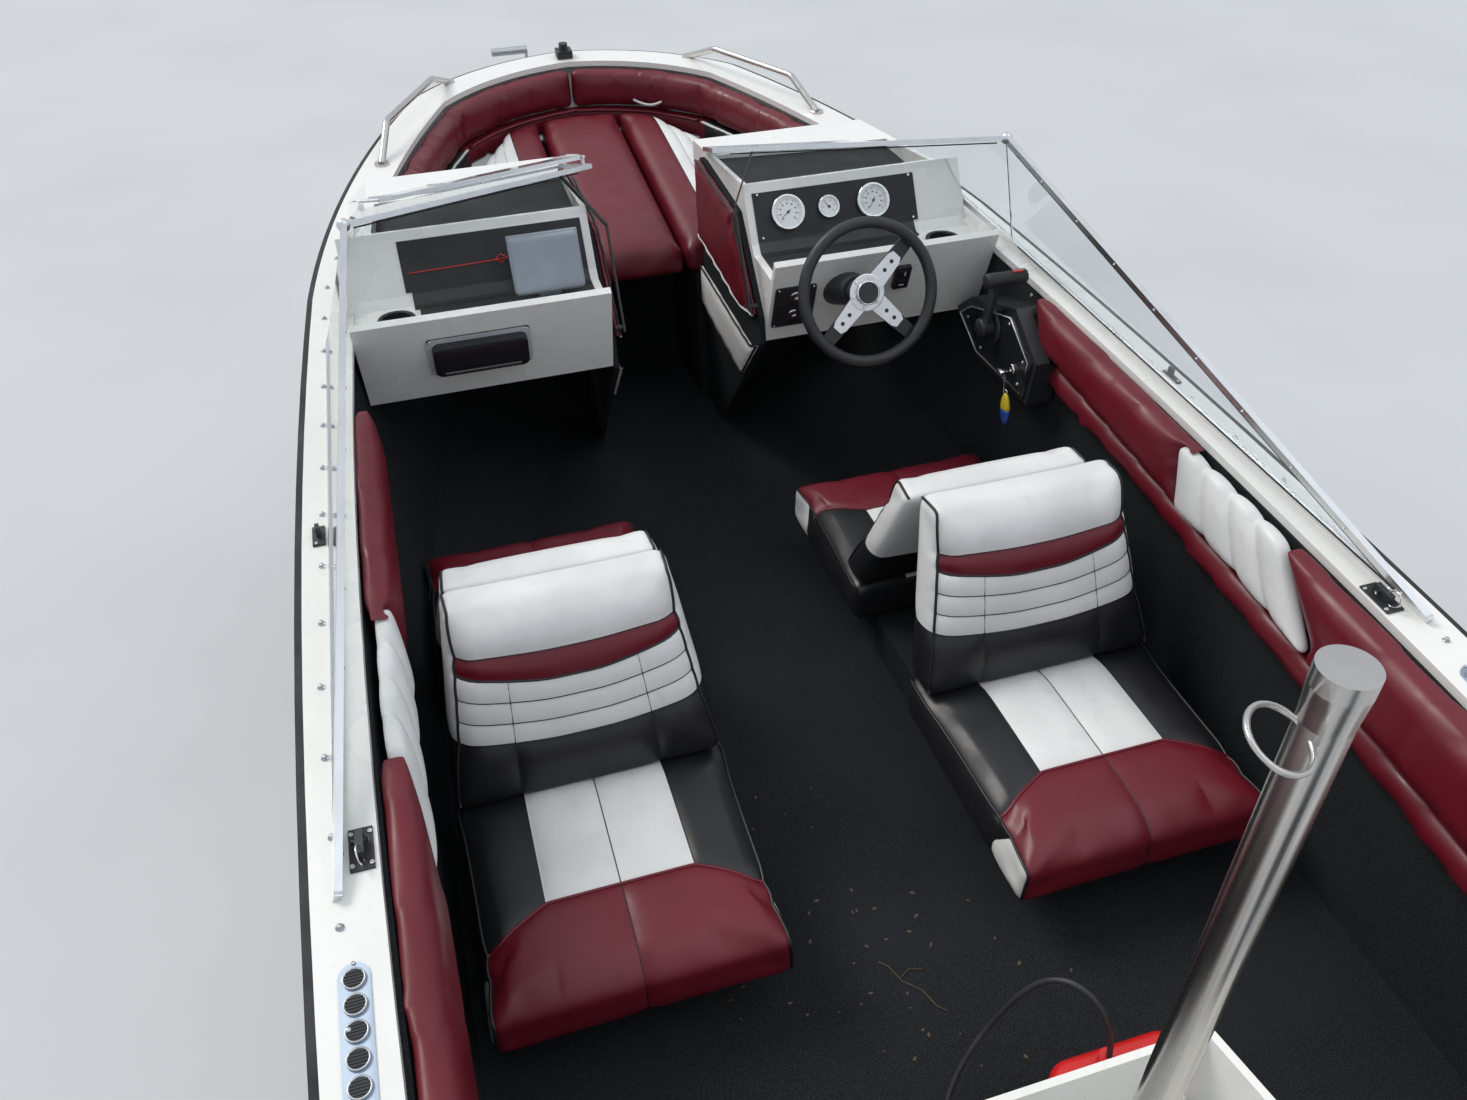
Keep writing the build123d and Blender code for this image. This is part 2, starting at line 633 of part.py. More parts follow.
def make_centre_window():
    """The top rail, hinge stile and straps of the centre window, and its pane."""
    width, depth = WINDOW_BAR
    stile = HINGE_SLEEVE + 16
    top = [window_point(WINDOW_TOP, stile), window_point(WINDOW_TOP, WINDOW_WIDTH)]
    low = [window_point(WINDOW_FOOT, stile), window_point(WINDOW_FOOT, WINDOW_WIDTH)]
    normal = plane_normal(top[0], low[0], top[1])
    frame = bar(tuple(top[0] - Vector(width / 2, 0, 0)), tuple(top[1]), width, depth, tuple(normal))
    frame += bar(tuple(top[0]), tuple(low[0]), width, depth, tuple(normal))
    for reach in STRAPS:
        ends = [window_point(share, WINDOW_WIDTH - reach) for share in (WINDOW_TOP, WINDOW_FOOT)]
        frame += bar(tuple(ends[0]), tuple(ends[1]), 9, depth - 1, tuple(normal))
    for share in (0.35, 0.65):
        frame += rod(hinge_point(share), tuple(window_point(share, stile)), 4)
    frame += rod(hinge_point(0.3), hinge_point(0.7), HINGE_SLEEVE)
    frame -= rod(hinge_point(0.2), hinge_point(0.8), HINGE_PIN + PIN_PLAY)
    corners = [tuple(point - normal * WINDOW_PANE / 2) for point in (top[0], top[1], low[1], low[0])]
    pane = extrude(make_face(Polyline(*corners, close=True)), amount=WINDOW_PANE, dir=tuple(normal)) - frame
    return folded(frame), folded(pane)


def make_screen_stays(frames, console):
    """The bent black stays from the windscreen's inner ends to the console sides."""
    top = Vector(262, 2922, 1694)
    knee = Vector(174, 2800, 1596)
    foot = Vector(174, 2672, 1352)
    upper = bar(tuple(top), tuple(knee), 16, 5, (1, 0, 0))
    lower = bar(tuple(knee), tuple(foot), 16, 5, (1, 0, 0))
    lug = rod((171, 2680, 1362), (197, 2680, 1362), 7)
    return upper + lower + lug - frames - console


# Seats: two back to back lounge seats on low bases

SEAT_TOP = FLOOR_TOP + SEAT_BASE_HEIGHT + SEAT_CUSHION
AFT_BACK = [(1500, SEAT_TOP + GAP), (1612, SEAT_TOP + GAP), (1762, 1325), (1740, 1368), (1690, 1381),
            (1652, 1362)]
FORWARD_BACK = [(2012, SEAT_TOP + GAP), (1900, SEAT_TOP + GAP), (1768, 1290), (1782, 1322), (1830, 1334),
                (1874, 1312)]


def make_seat(middle, space):
    """The base, the two cushions and the two backs of one seat."""
    floor = FLOOR_TOP
    seat = floor + SEAT_BASE_HEIGHT
    top = seat + SEAT_CUSHION
    half = SEAT_WIDTH / 2
    base = block(middle - half + 70, middle + half - 70, SEAT_AFT + 110, SEAT_FORWARD - 90, floor, seat)
    aft = [(SEAT_AFT + 12, seat + 8), (SEAT_AFT + 60, seat), (1618, seat), (1618, top), (SEAT_AFT + 70, top),
           (SEAT_AFT + 18, top - 22), (SEAT_AFT, top - 60)]
    ahead = [(SEAT_FORWARD - 12, seat + 8), (SEAT_FORWARD - 60, seat), (1895, seat), (1895, top),
             (SEAT_FORWARD - 70, top), (SEAT_FORWARD - 18, top - 22), (SEAT_FORWARD, top - 60)]
    cushions = [side_prism(outline, middle - half, middle + half) for outline in (aft, ahead)]
    taper = [(-half, top - 1), (half, top - 1), (half - 18, 1150), (SEAT_BACK_TOP_WIDTH / 2, 1390),
             (-SEAT_BACK_TOP_WIDTH / 2, 1390), (-half + 18, 1150)]
    sides = Pos(middle, 0, 0) * cross_prism(taper, 1400, 2100)
    outlines = (AFT_BACK, FORWARD_BACK)
    backs = [side_prism(outline, middle - half, middle + half) & sides for outline in outlines]
    return base & space, [cushion & space for cushion in cushions], backs


# Side bolsters

WHITE_PANEL = [(1690, 1405), (1650, 1262), (1330, 1195), (1176, 1222), (1344, 1388)]


def bolster_region(top_drop, bottom_front, bottom_aft):
    """A side view outline along the cockpit, below the deck's inner edge."""
    aft, front = deck_at(BOLSTER_AFT), deck_at(BOLSTER_FRONT)
    return [(BOLSTER_AFT, aft - top_drop), (BOLSTER_FRONT, front - top_drop),
            (BOLSTER_FRONT - 65, front - bottom_front), (BOLSTER_AFT, aft - bottom_aft)]


def make_bolsters(deck):
    """The padded side bolsters, their white panels and the narrow rolls below."""
    band = cockpit_form(GAP) - cockpit_form(BOLSTER_DEPTH)
    upper = side_prism(bolster_region(4, 130, 215), -1000, 1000)
    white = side_prism(WHITE_PANEL, -1000, 1000)
    roll_band = cockpit_form(GAP) - cockpit_form(ROLL_DEPTH)
    aft, front = deck_at(BOLSTER_AFT), deck_at(BOLSTER_FRONT)
    roll = side_prism([(BOLSTER_AFT, aft - 217), (BOLSTER_FRONT - 66, front - 132),
                       (BOLSTER_FRONT - 100, front - 200), (BOLSTER_AFT, aft - 290)],
                      -1000, 1000)
    bolsters = band & upper
    bolsters -= deck
    return [*(bolsters - white).solids(), *(roll_band & roll).solids()], (bolsters & white).solids()


# Splash well, pylon and fuel tank

def make_splash_well(hull, deck):
    """The moulded well in front of the motor, open over the transom."""
    def plan(half_aft, half_front, aft, front):
        return [(-half_aft, aft), (half_aft, aft), (half_aft, 40), (half_front, front), (-half_front, front),
                (-half_aft, 40)]
    profile = [(-24, 971), (-84, 1290), (60, 1290), (190, 1178), (WELL_FRONT, WELL_TOP),
               (WELL_FRONT - 14, 971)]
    outer = plan_prism(plan(WELL_AFT_HALF - GAP, WELL_FRONT_HALF, -90, WELL_FRONT), 971, 1400)
    outer &= side_prism(profile, -500, 500)
    aft_half, front_half = WELL_AFT_HALF - WELL_WALL, WELL_FRONT_HALF - WELL_WALL
    inner = plan_prism(plan(aft_half, front_half, -200, WELL_FRONT - WELL_WALL),
                       WELL_FLOOR, 1500)
    hole = rod((0, PYLON_Y, 900), (0, PYLON_Y, 1300), PYLON_RADIUS)
    return outer - inner - hole - hull - deck


PYLON_Y = 482.0
PYLON_RADIUS = 24.0
PYLON_TOP = 2110.0
PYLON_CAP = 26.5


def make_pylon():
    """The stainless ski pylon: foot plate, tube, flared cap and tow ring."""
    foot = Pos(0, PYLON_Y, FLOOR_TOP) * Cylinder(46, 10, align=UPRIGHT)
    tube = rod((0, PYLON_Y, FLOOR_TOP), (0, PYLON_Y, PYLON_TOP - 20), PYLON_RADIUS)
    neck = Pos(0, PYLON_Y, PYLON_TOP - 60) * Cone(PYLON_RADIUS, PYLON_CAP, 40, align=UPRIGHT)
    cap = Pos(0, PYLON_Y, PYLON_TOP - 20) * Cylinder(PYLON_CAP, 20, align=UPRIGHT)
    ring = Pos(-50, PYLON_Y - 6, PYLON_TOP - 62) * Rot(20, 15, 0) * Torus(32, 3)
    return foot + tube + neck + cap + ring


TANK = (52, 300, 330, 735, 760, 965)


def make_tank():
    """The portable fuel tank with its raised handle and hose fitting."""
    body = block(*TANK)
    body = fillet(body.edges().filter_by(Axis.Z), 45)
    body = fillet(body.faces().sort_by(Axis.Z)[-1].edges(), 25)
    fitting = rod((150, 700, 960), (150, 700, 990), 16)
    return body + fitting


HOSE_RADIUS = 5.0
BEND_SHARE = 0.45
HOSE_ROUTE = [(150, 700, 990.4), (149, 705, 1036), (142, 723, 1077), (126, 751, 1103), (103, 782, 1106),
              (79, 806, 1081), (53, 819, 1036), (19, 824, 972), (-27, 815, 902), (-73, 786, 848),
              (-109, 736, 809), (-134, 664, 782), (-153, 574, 770), (-168, 470, 766), (-180, 352, 767),
              (-189, 246, 778), (-195, 162, 806), (-199, 98, 848), (-201, 30, 898)]


def cord_tube(route, radius):
    """A cord's tube: runs between the route's points, with bends as large as they allow."""
    points = [Vector(*point) for point in route]
    bends = []
    for before, here, after in zip(points, points[1:], points[2:]):
        run_in, run_out = here - before, after - here
        turn = radians(run_in.get_angle(run_out))
        bends.append(BEND_SHARE * min(run_in.length, run_out.length) / tan(turn / 2))
    print("bend radii in mm:", [round(bend) for bend in bends])
    path = FilletPolyline(*route, radius=bends)
    return sweep(Plane(origin=path @ 0, z_dir=path % 0) * Circle(radius), path=path)


def make_hose(hull):
    """The fuel hose, from the tank's fitting down to the floor and out through the transom."""
    return cord_tube(HOSE_ROUTE, HOSE_RADIUS) - hull


# Cup holders in the outer corner of each console's tray

CUP_X = 740.0
CUP_Y = 2690.0
CUP_RADIUS = 39.0


def make_cup_holder():
    """The starboard cup holder: a flanged cup sunk into the tray."""
    top = 1471.0
    cup = Pos(CUP_X, CUP_Y, top - 62) * Cylinder(CUP_RADIUS, 62, align=UPRIGHT)
    cup += Pos(CUP_X, CUP_Y, top - 1) * Cylinder(CUP_RADIUS + 8, 5, align=UPRIGHT)
    return cup - Pos(CUP_X, CUP_Y, top - 59) * Cylinder(CUP_RADIUS - 3, 80, align=UPRIGHT)


def cup_bore():
    """The hole in the tray and its lining for a cup holder."""
    return rod((CUP_X, CUP_Y, 1380), (CUP_X, CUP_Y, 1600), CUP_RADIUS)


# Deck fittings

def deck_slab(low, high):
    """A tilted slab between two heights above the deck's top face."""
    y_low, y_high = -300, 4600
    return side_prism([(y_low, deck_at(y_low) + low), (y_high, deck_at(y_high) + low),
                       (y_high, deck_at(y_high) + high), (y_low, deck_at(y_low) + high)], -1200, 1200)


def on_deck(shape, low, high):
    """The part of an upright prism that lies between two heights on the deck."""
    return shape & deck_slab(low, high)


def make_deck_fittings():
    """Canopy hinge plates with their eyes, canopy hooks and the bow light."""
    shapes = []
    plate = on_deck(block(890, 926, 1118, 1192, 1300, 1500), 0, 4)
    eye = on_deck(block(902, 914, 1135, 1175, 1300, 1500), 3.9, 22)
    shapes += both_sides(plate + eye)
    foot = on_deck(block(936, 960, 1870, 1925, 1300, 1500), 0, 5)
    hook = foot + on_deck(block(943, 951, 1890, 1905, 1300, 1500), 4, 28)
    shapes += both_sides(hook)
    light = on_deck(block(-28, 28, 4376, 4432, 1400, 1700), 0, 26)
    light += on_deck(Pos(0, 4404, 1600) * Cylinder(16, 300), 25, 48)
    shapes.append(light)
    return shapes


VENT_LENGTH = 560.0
VENT_FRONT = 975.0
VENT_X = 929.0
LOUVRE_PITCH = 37.5


def make_vents():
    """The long brushed plates with their rows of round louvres."""
    outline = Pos(VENT_X, VENT_FRONT - VENT_LENGTH / 2, 1200) * extrude(
        Rot(0, 0, 90) * SlotOverall(VENT_LENGTH, 44), amount=300)
    plate = on_deck(outline, 0, 2)
    for index in range(int((VENT_LENGTH - 50) / LOUVRE_PITCH) + 1):
        y = VENT_FRONT - 25 - index * LOUVRE_PITCH
        plate += on_deck(Pos(VENT_X, y, 1300) * Cylinder(15.5, 400), 1, 5)
    return both_sides(plate)


def make_bow_rails(deck, rub_rail):
    """The two bent stainless grab rails on the foredeck."""
    points = [(712, 3632, deck_at(3632) + 2), (672, 3782, deck_at(3782) + 72),
              (500, 4120, deck_at(4120) + 68),
              (440, 4274, deck_at(4274) + 2)]
    rail = bent_tube(points, [70, 70], 11)
    for x, y, z in (points[0], points[-1]):
        rail += on_deck(Pos(x, y, z) * Cylinder(22, 60), 0, 5)
    return both_sides(rail - deck - rub_rail)


# Outboard motor: clamp bracket, tilting swivel bracket, steered motor and propeller

TILT_AXIS = (-55.0, 1012.0)
TILT_TUBE = 14.0
CLAMP_INNER = 95.0
CLAMP_PLATE = 12.0
STEER_Y = -190.0
STEER_SHAFT = 16.0
SHAFT_Z = 270.0
PROP_FRONT = -435.0
PROP_RADIUS = 165.0
PROP_SHAFT = 9.0
COWL_LEVELS = [(1060, -470, -110, 110, 50), (1150, -552, -72, 165, 80), (1350, -560, -75, 165, 80),
               (1450, -535, -110, 140, 70), (1500, -480, -170, 95, 60)]


def make_clamp(hull, well):
    """The two clamp plates hooked over the transom, with the tilt tube across them."""
    outline = [(55, 985), (55, 1003), (-15, 1042), (-92, 1042), (-92, 960), (-50, 720), (45, 720), (45, 968)]
    plate = side_prism(outline, CLAMP_INNER, CLAMP_INNER + CLAMP_PLATE)
    reach = CLAMP_INNER + CLAMP_PLATE / 2
    tube = rod((-reach, *TILT_AXIS), (reach, *TILT_AXIS), TILT_TUBE)
    tie = rod((-reach, -20, 745), (reach, -20, 745), 9)
    bracket = plate + mirror(plate, about=Plane.YZ) + tube + tie
    return bracket - hull - well


def make_swivel():
    """The bracket that tilts: a sleeve on the tilt tube, a web and the steering sleeve."""
    half = CLAMP_INNER - 5
    sleeve = rod((-half, *TILT_AXIS), (half, *TILT_AXIS), TILT_TUBE + 11)
    web = side_prism([(-55, 990), (-190, 830), (-190, 1028), (-55, 1036)], -45, 45)
    tube = rod((0, STEER_Y, 803), (0, STEER_Y, 1032), STEER_SHAFT + 14)
    body = sleeve + web + tube
    body -= rod((-half - 1, *TILT_AXIS), (half + 1, *TILT_AXIS), TILT_TUBE + PIN_PLAY)
    return body - rod((0, STEER_Y, 700), (0, STEER_Y, 1100), STEER_SHAFT + PIN_PLAY)


def lens(front, aft, half, height):
    """A six-sided streamlined section of the leg."""
    return make_face(Polyline((0, front, height), (half, front - 28, height), (half, aft + 45, height),
                              (0, aft, height), (-half, aft + 45, height), (-half, front - 28, height), close=True))


def cowl_level(height, aft, front, half, corner):
    """One level of the motor's cover."""
    return Pos(0, (aft + front) / 2, height) * RectangleRounded(2 * half, front - aft, corner)


def make_motor_leg():
    """The lower pan, the leg, the anti-cavitation plate, the gearcase and the skeg."""
    pan = loft([cowl_level(*COWL_LEVELS[0]), cowl_level(*COWL_LEVELS[1])], ruled=True)
    leg = loft([lens(-226, -350, 45, 1070), lens(-228, -345, 34, 800), lens(-205, -345, 20, 300)], ruled=True)
    shaft = rod((0, STEER_Y, 780), (0, STEER_Y, 1062), STEER_SHAFT)
    yokes = block(-24, 24, -270, STEER_Y + 24, 778, 798) + block(-30, 30, -270, STEER_Y + 26, 1038, 1064)
    plate = Pos(0, -315, 450) * extrude(RectangleRounded(170, 330, 70), amount=8)
    case = revolve(make_face(Polyline((0, -85, SHAFT_Z), (0, -100, SHAFT_Z + 26), (0, -150, SHAFT_Z + 46),
                                      (0, -230, SHAFT_Z + 52), (0, -370, SHAFT_Z + 50),
                                      (0, -430, SHAFT_Z + 40),
                                      (0, -430, SHAFT_Z), close=True)), axis=Axis((0, 0, SHAFT_Z), (0, 1, 0)))
    skeg = side_prism([(-150, 240), (-345, 240), (-345, 150), (-300, 130)], -5, 5)
    motor = pan + leg + shaft + yokes + plate + case + skeg
    return motor - rod((0, PROP_FRONT - 5, SHAFT_Z), (0, PROP_FRONT + 50, SHAFT_Z), PROP_SHAFT + PIN_PLAY)


def make_motor_cowl():
    """The motor's lift-off cover."""
    return loft([cowl_level(*row) for row in COWL_LEVELS[1:]], ruled=True)


def make_propeller():
    """The three-bladed propeller on its shaft."""
    hub = rod((0, PROP_FRONT - 80, 0), (0, PROP_FRONT, 0), 38)
    hub += rod((0, PROP_FRONT, 0), (0, PROP_FRONT + 42, 0), PROP_SHAFT)
    middle = PROP_FRONT - 42
    blade = loft([
        Plane(origin=(radius, middle, 0), z_dir=(1, 0, 0), x_dir=(0, cos(radians(turn)), sin(radians(turn))))
        * Rectangle(width, thick)
        for radius, turn, width, thick in ((30, 35, 62, 12), (105, 52, 100, 7), (PROP_RADIUS, 65, 56, 4))
    ], ruled=True)
    propeller = hub
    for index in range(3):
        propeller += blade.rotate(Axis.Y, 120 * index)
    return Pos(0, 0, SHAFT_Z) * propeller


# Trailer

AXLE_Y = 1250.0
AXLE_Z = 275.0
WHEEL_X = 930.0
TYRE_RADIUS = 275.0
TYRE_BORE = 165.0
TYRE_WIDTH = 155.0
STUB = 20.0
SPINE_LOW = 300.0
SPINE_HIGH = 360.0
ROLLER_YS = [500, 1500, 2500, 3300]
ROLLER = 38.0
CROSS_YS = [700, 2100]
BUNK_X = 560.0
POST_Y = 4625.0
WINCH_Z = 1430.0
JOCKEY = (85.0, 4950.0)
JOCKEY_TRAIL = 35.0
JOCKEY_RADIUS = 90.0
JOCKEY_STEM = 20.0


def make_bunks(outer):
    """The two carpeted planks shaped to the hull's bottom."""
    outline = [(500, 545), (1400, 590), (2300, 652), (2300, 800), (500, 800)]
    plank = side_prism(outline, BUNK_X - 50, BUNK_X + 50) - outer
    return both_sides(plank)


def make_keel_rollers():
    """Rubber rollers under the keel, and the bow snubber's roller."""
    rollers = []
    for y in ROLLER_YS:
        middle = KEEL_HEIGHT - ROLLER
        rollers.append(rod((-58, y, middle), (58, y, middle), ROLLER, 8))
    return rollers


def make_trailer_frame(bunks, outer):
    """Spine, cross beams, posts, roller cheeks, coupling and jockey tube."""
    frame = block(-40, 40, 250, 5210, SPINE_LOW, SPINE_HIGH)
    for y in CROSS_YS:
        frame += block(-BUNK_X - 25, BUNK_X + 25, y - 25, y + 25, SPINE_LOW + 5, SPINE_LOW + 55)
        post = block(BUNK_X - 20, BUNK_X + 20, y - 20, y + 20, SPINE_LOW + 50, 700)
        for shape in both_sides(post):
            frame += shape
    for y in ROLLER_YS:
        middle = KEEL_HEIGHT - ROLLER
        frame += rod((-68, y, middle), (68, y, middle), 8)
        frame += block(-68, 68, y - 20, y + 20, SPINE_HIGH - 20, SPINE_HIGH + 6)
        for shape in both_sides(block(61, 68, y - 20, y + 20, SPINE_HIGH, middle + 14)):
            frame += shape
    frame += block(-330, 330, 255, 300, SPINE_LOW, SPINE_LOW + 40)
    frame += block(-28, 28, 5190, 5370, SPINE_LOW + 4, SPINE_HIGH - 4)
    cup = rod((0, COUPLING_TIP - 38, 288), (0, COUPLING_TIP - 38, 352), 38)
    frame += cup
    frame -= Pos(0, COUPLING_TIP - 38, 292) * Sphere(26)
    frame += rod((0, 5330, 350), (0, 5290, 400), 9)
    x, y = JOCKEY
    frame += rod((x, y, 232), (x, y, 620), JOCKEY_STEM + 6, JOCKEY_STEM + PIN_PLAY)
    frame += block(38, x - JOCKEY_STEM - 2, y - 30, y + 30, SPINE_LOW, SPINE_HIGH)
    frame += rod((x, y, 600), (x, y, 622), JOCKEY_STEM + 6)
    frame += rod((x, y, 615), (x, y, 660), 12) + rod((x, y, 650), (x, y + 110, 650), 7)
    frame += rod((x, y + 105, 640), (x, y + 105, 720), 12)
    for bunk in bunks:
        frame -= bunk
    return frame - outer


def make_axle():
    """The axle beam under the spine, with the two wheel stubs."""
    beam = block(-800, 800, AXLE_Y - 30, AXLE_Y + 30, SPINE_LOW - 60, SPINE_LOW)
    for side in (-1, 1):
        beam += rod((side * 790, AXLE_Y, AXLE_Z), (side * 950, AXLE_Y, AXLE_Z), STUB)
    return beam


def make_mudguards(axle):
    """Rounded steel guards over the wheels, with their inner cheeks on the axle."""
    inner, sheet, edge = 325.0, 3.0, 1022.0
    ring = rod((838, AXLE_Y, AXLE_Z), (edge, AXLE_Y, AXLE_Z), inner + sheet, inner)
    cheek = rod((835, AXLE_Y, AXLE_Z), (838, AXLE_Y, AXLE_Z), inner + sheet)
    upper = block(700, 1100, AXLE_Y - 400, AXLE_Y + 400, AXLE_Z - 35, AXLE_Z + 400)
    above = block(700, 1100, AXLE_Y - 400, AXLE_Y + 400, AXLE_Z + 40, AXLE_Z + 400)
    guard = (ring & above) + (cheek & upper)
    guard -= block(700, 1100, AXLE_Y - 400, AXLE_Y - 60, AXLE_Z - 40, AXLE_Z + 40)
    guard -= block(700, 1100, AXLE_Y + 60, AXLE_Y + 400, AXLE_Z - 40, AXLE_Z + 40)
    return [shape - axle for shape in both_sides(guard)]


def make_tyre():
    """The starboard tyre, with rounded shoulders."""
    half = TYRE_WIDTH / 2
    outline = [(-half + 12, TYRE_BORE), (half - 12, TYRE_BORE), (half, TYRE_BORE + 45),
               (half - 4, TYRE_RADIUS - 30),
               (half - 26, TYRE_RADIUS - 4), (half - 50, TYRE_RADIUS), (-half + 50, TYRE_RADIUS),
               (-half + 26, TYRE_RADIUS - 4), (-half + 4, TYRE_RADIUS - 30), (-half, TYRE_BORE + 45)]
    face = make_face(Polyline(*[(WHEEL_X + x, AXLE_Y, AXLE_Z + r) for x, r in outline], close=True))
    return revolve(face, axis=Axis((0, AXLE_Y, AXLE_Z), (1, 0, 0)))


def make_rim():
    """The starboard wheel rim with its dished disc, hub and cap."""
    half = TYRE_WIDTH / 2 - 12
    outline = [(-half, TYRE_BORE), (-half, TYRE_BORE - 14), (8, TYRE_BORE - 20), (16, 95), (34, 72), (34, 46),
               (-45, 46), (-45, STUB + PIN_PLAY), (52, STUB + PIN_PLAY), (52, 46), (44, 46), (44, 76),
               (26, 100),
               (22, TYRE_BORE - 16), (half, TYRE_BORE - 14), (half, TYRE_BORE)]
    face = make_face(Polyline(*[(WHEEL_X + x, AXLE_Y, AXLE_Z + r) for x, r in outline], close=True))
    rim = revolve(face, axis=Axis((0, AXLE_Y, AXLE_Z), (1, 0, 0)))
    return rim + rod((WHEEL_X + 51, AXLE_Y, AXLE_Z), (WHEEL_X + 70, AXLE_Y, AXLE_Z), 30)


def make_winch_post(outer):
    """The winch post with its brace, the bow snubber and the winch's body."""
    post = block(-25, 25, POST_Y - 25, POST_Y + 25, SPINE_HIGH, WINCH_Z - 40)
    brace_outline = [(POST_Y + 20, 1040), (POST_Y + 20, 980), (4990, SPINE_HIGH), (5050, SPINE_HIGH)]
    brace = side_prism(brace_outline, -18, 18)
    arm = block(-20, 20, 4250, POST_Y, 1160, 1200)
    snubber = side_prism([(4190, 1135), (4300, 1135), (4300, 1225), (4190, 1225)], -45, 45) - outer
    base = block(-52, 52, POST_Y - 70, POST_Y + 60, WINCH_Z - 48, WINCH_Z - 38)
    cheeks = [block(side * 45 - 3, side * 45 + 3, POST_Y - 60, POST_Y + 50, WINCH_Z - 40, WINCH_Z + 45)
              for side in (-1, 1)]
    drum = rod((-44, POST_Y, WINCH_Z), (44, POST_Y, WINCH_Z), 30)
    boss = rod((-62, POST_Y, WINCH_Z), (-44, POST_Y, WINCH_Z), 20)
    body = post + brace + arm + snubber + base + cheeks[0] + cheeks[1] + drum + boss
    return body - rod((-80, POST_Y, WINCH_Z), (-30, POST_Y, WINCH_Z), 10 + PIN_PLAY)


def make_winch_handle():
    """The winch's crank with its black grip."""
    shaft = rod((-35, POST_Y, WINCH_Z), (-125, POST_Y, WINCH_Z), 10)
    arm = bar((-121, POST_Y, WINCH_Z), (-121, POST_Y - 80, WINCH_Z + 164), 26, 8, (1, 0, 0))
    ends = rod((-125, POST_Y, WINCH_Z), (-117, POST_Y, WINCH_Z), 16)
    ends += rod((-125, POST_Y - 80, WINCH_Z + 164), (-117, POST_Y - 80, WINCH_Z + 164), 14)
    grip = rod((-250, POST_Y - 80, WINCH_Z + 164), (-124, POST_Y - 80, WINCH_Z + 164), 14)
    return shaft + arm + ends + grip


def make_jockey_fork():
    """The castor's stem, crown, fork and wheel pin."""
    x, y = JOCKEY
    aft = y - JOCKEY_TRAIL
    stem = rod((x, y, 205), (x, y, 560), JOCKEY_STEM)
    crown = block(x - 40, x + 40, aft - 25, y + 25, 198, 208)
    fork = stem + crown + rod((x - 40, aft, JOCKEY_RADIUS), (x + 40, aft, JOCKEY_RADIUS), 8)
    for side in (-1, 1):
        low, high = sorted((x + side * 32, x + side * 40))
        fork += block(low, high, aft - 22, aft + 22, JOCKEY_RADIUS - 20, 203)
    return fork


def make_jockey_wheel():
    """The jockey wheel: a solid tyre on a hub."""
    x, y = JOCKEY
    aft = y - JOCKEY_TRAIL
    wheel = rod((x - 22, aft, JOCKEY_RADIUS), (x + 22, aft, JOCKEY_RADIUS), JOCKEY_RADIUS)
    wheel += rod((x - 27, aft, JOCKEY_RADIUS), (x + 27, aft, JOCKEY_RADIUS), 22)
    return wheel - rod((x - 60, aft, JOCKEY_RADIUS), (x + 60, aft, JOCKEY_RADIUS), 8 + PIN_PLAY)


os.makedirs("parts", exist_ok=True)
hull_outer = hull_form(0, 0, 0)
hull_inner = hull_form(HULL_WALL, TRANSOM_WALL, HULL_WALL, 0)
cockpit_space = cockpit_form(0) & hull_form(HULL_WALL + LINING, TRANSOM_WALL - 5, HULL_WALL + LINING, 2)
hull = make_hull(hull_outer, hull_inner)
deck = make_deck()
rub_rail = make_rub_rail(hull_outer, deck)
liners = make_liners(hull_inner, cockpit_space)
bow_seat = make_bow_seat(hull_inner)
bow_panels = make_bow_panels(hull_inner)
bow_room = sheer_slab(BOW_RIM + BOW_PANEL_DEPTH + 1, -500, 300)
bow_cushions = make_bow_cushions(bow_room)
save("hull", hull)
save("deck", deck)
save("rub_rail", rub_rail)
save("cockpit_floor", make_floor(hull_inner))
save("side_liners", liners)
save("bow_seat_base", bow_seat)
save("bow_cushions", bow_cushions)
save("bow_side_panels", bow_panels)
save("bow_bolsters", make_bow_bolsters(hull_inner, bow_cushions))

helm_console = make_console(liners, deck)
port_console = mirror(helm_console, about=Plane.YZ)
panel_linings, tray_linings, cowl_mats = make_dash_linings(helm_console)
panels, skirts, pads = make_walkway_sides()
gauges = make_gauges()
switches = make_switch_panels()
boss = make_steering_boss()
side_sheet = make_side_sheet(cockpit_space, deck, helm_console)
frames = both_sides(make_screen_frames(deck, helm_console))
frames[1] += make_window_pin()
linings = [panel_linings[0], tray_linings[0], cowl_mats[0]]
panes = [both_sides(pane) for pane in make_screen_panes(frames[0], deck, helm_console, linings)]
window_frame, window_pane = make_centre_window()
stays = both_sides(make_screen_stays(frames[0], helm_console))
seats = [make_seat(middle, cockpit_space) for middle in SEAT_MIDDLES]
bolsters, inserts = make_bolsters(deck)
well = make_splash_well(hull, deck)
pylon = make_pylon()
clamp = make_clamp(hull, well)
bunks = make_bunks(hull_outer)
axle = make_axle()
tyre = make_tyre()
rim = make_rim()
save("port_console", port_console)
save("helm_console", helm_console)
save("dash_linings", [panel_linings, tray_linings])
save("dash_mats", cowl_mats)
save("console_carpets", panels)
save("console_skirts", skirts)
save("console_pads", pads)
save("gauges", gauges)
save("switch_panels", switches)
save("display_unit", make_display([tray_linings[1]]))
save("radio_cover", make_radio_cover())
save("steering_boss", boss)
save("steering_wheel", make_steering_wheel())
save("side_sheet", side_sheet)
save("control_box", make_control_box(bolsters))
save("screen_frames", frames)
save("screen_panes", panes)
save("screen_stays", stays)
save("centre_window_frame", window_frame)
save("centre_window_pane", window_pane)
save("seat_bases", [seat[0] for seat in seats])
save("seat_cushions", [seat[1] for seat in seats])
save("seat_backs", [seat[2] for seat in seats])
save("side_bolsters", bolsters)
save("bolster_inserts", inserts)
save("splash_well", well)
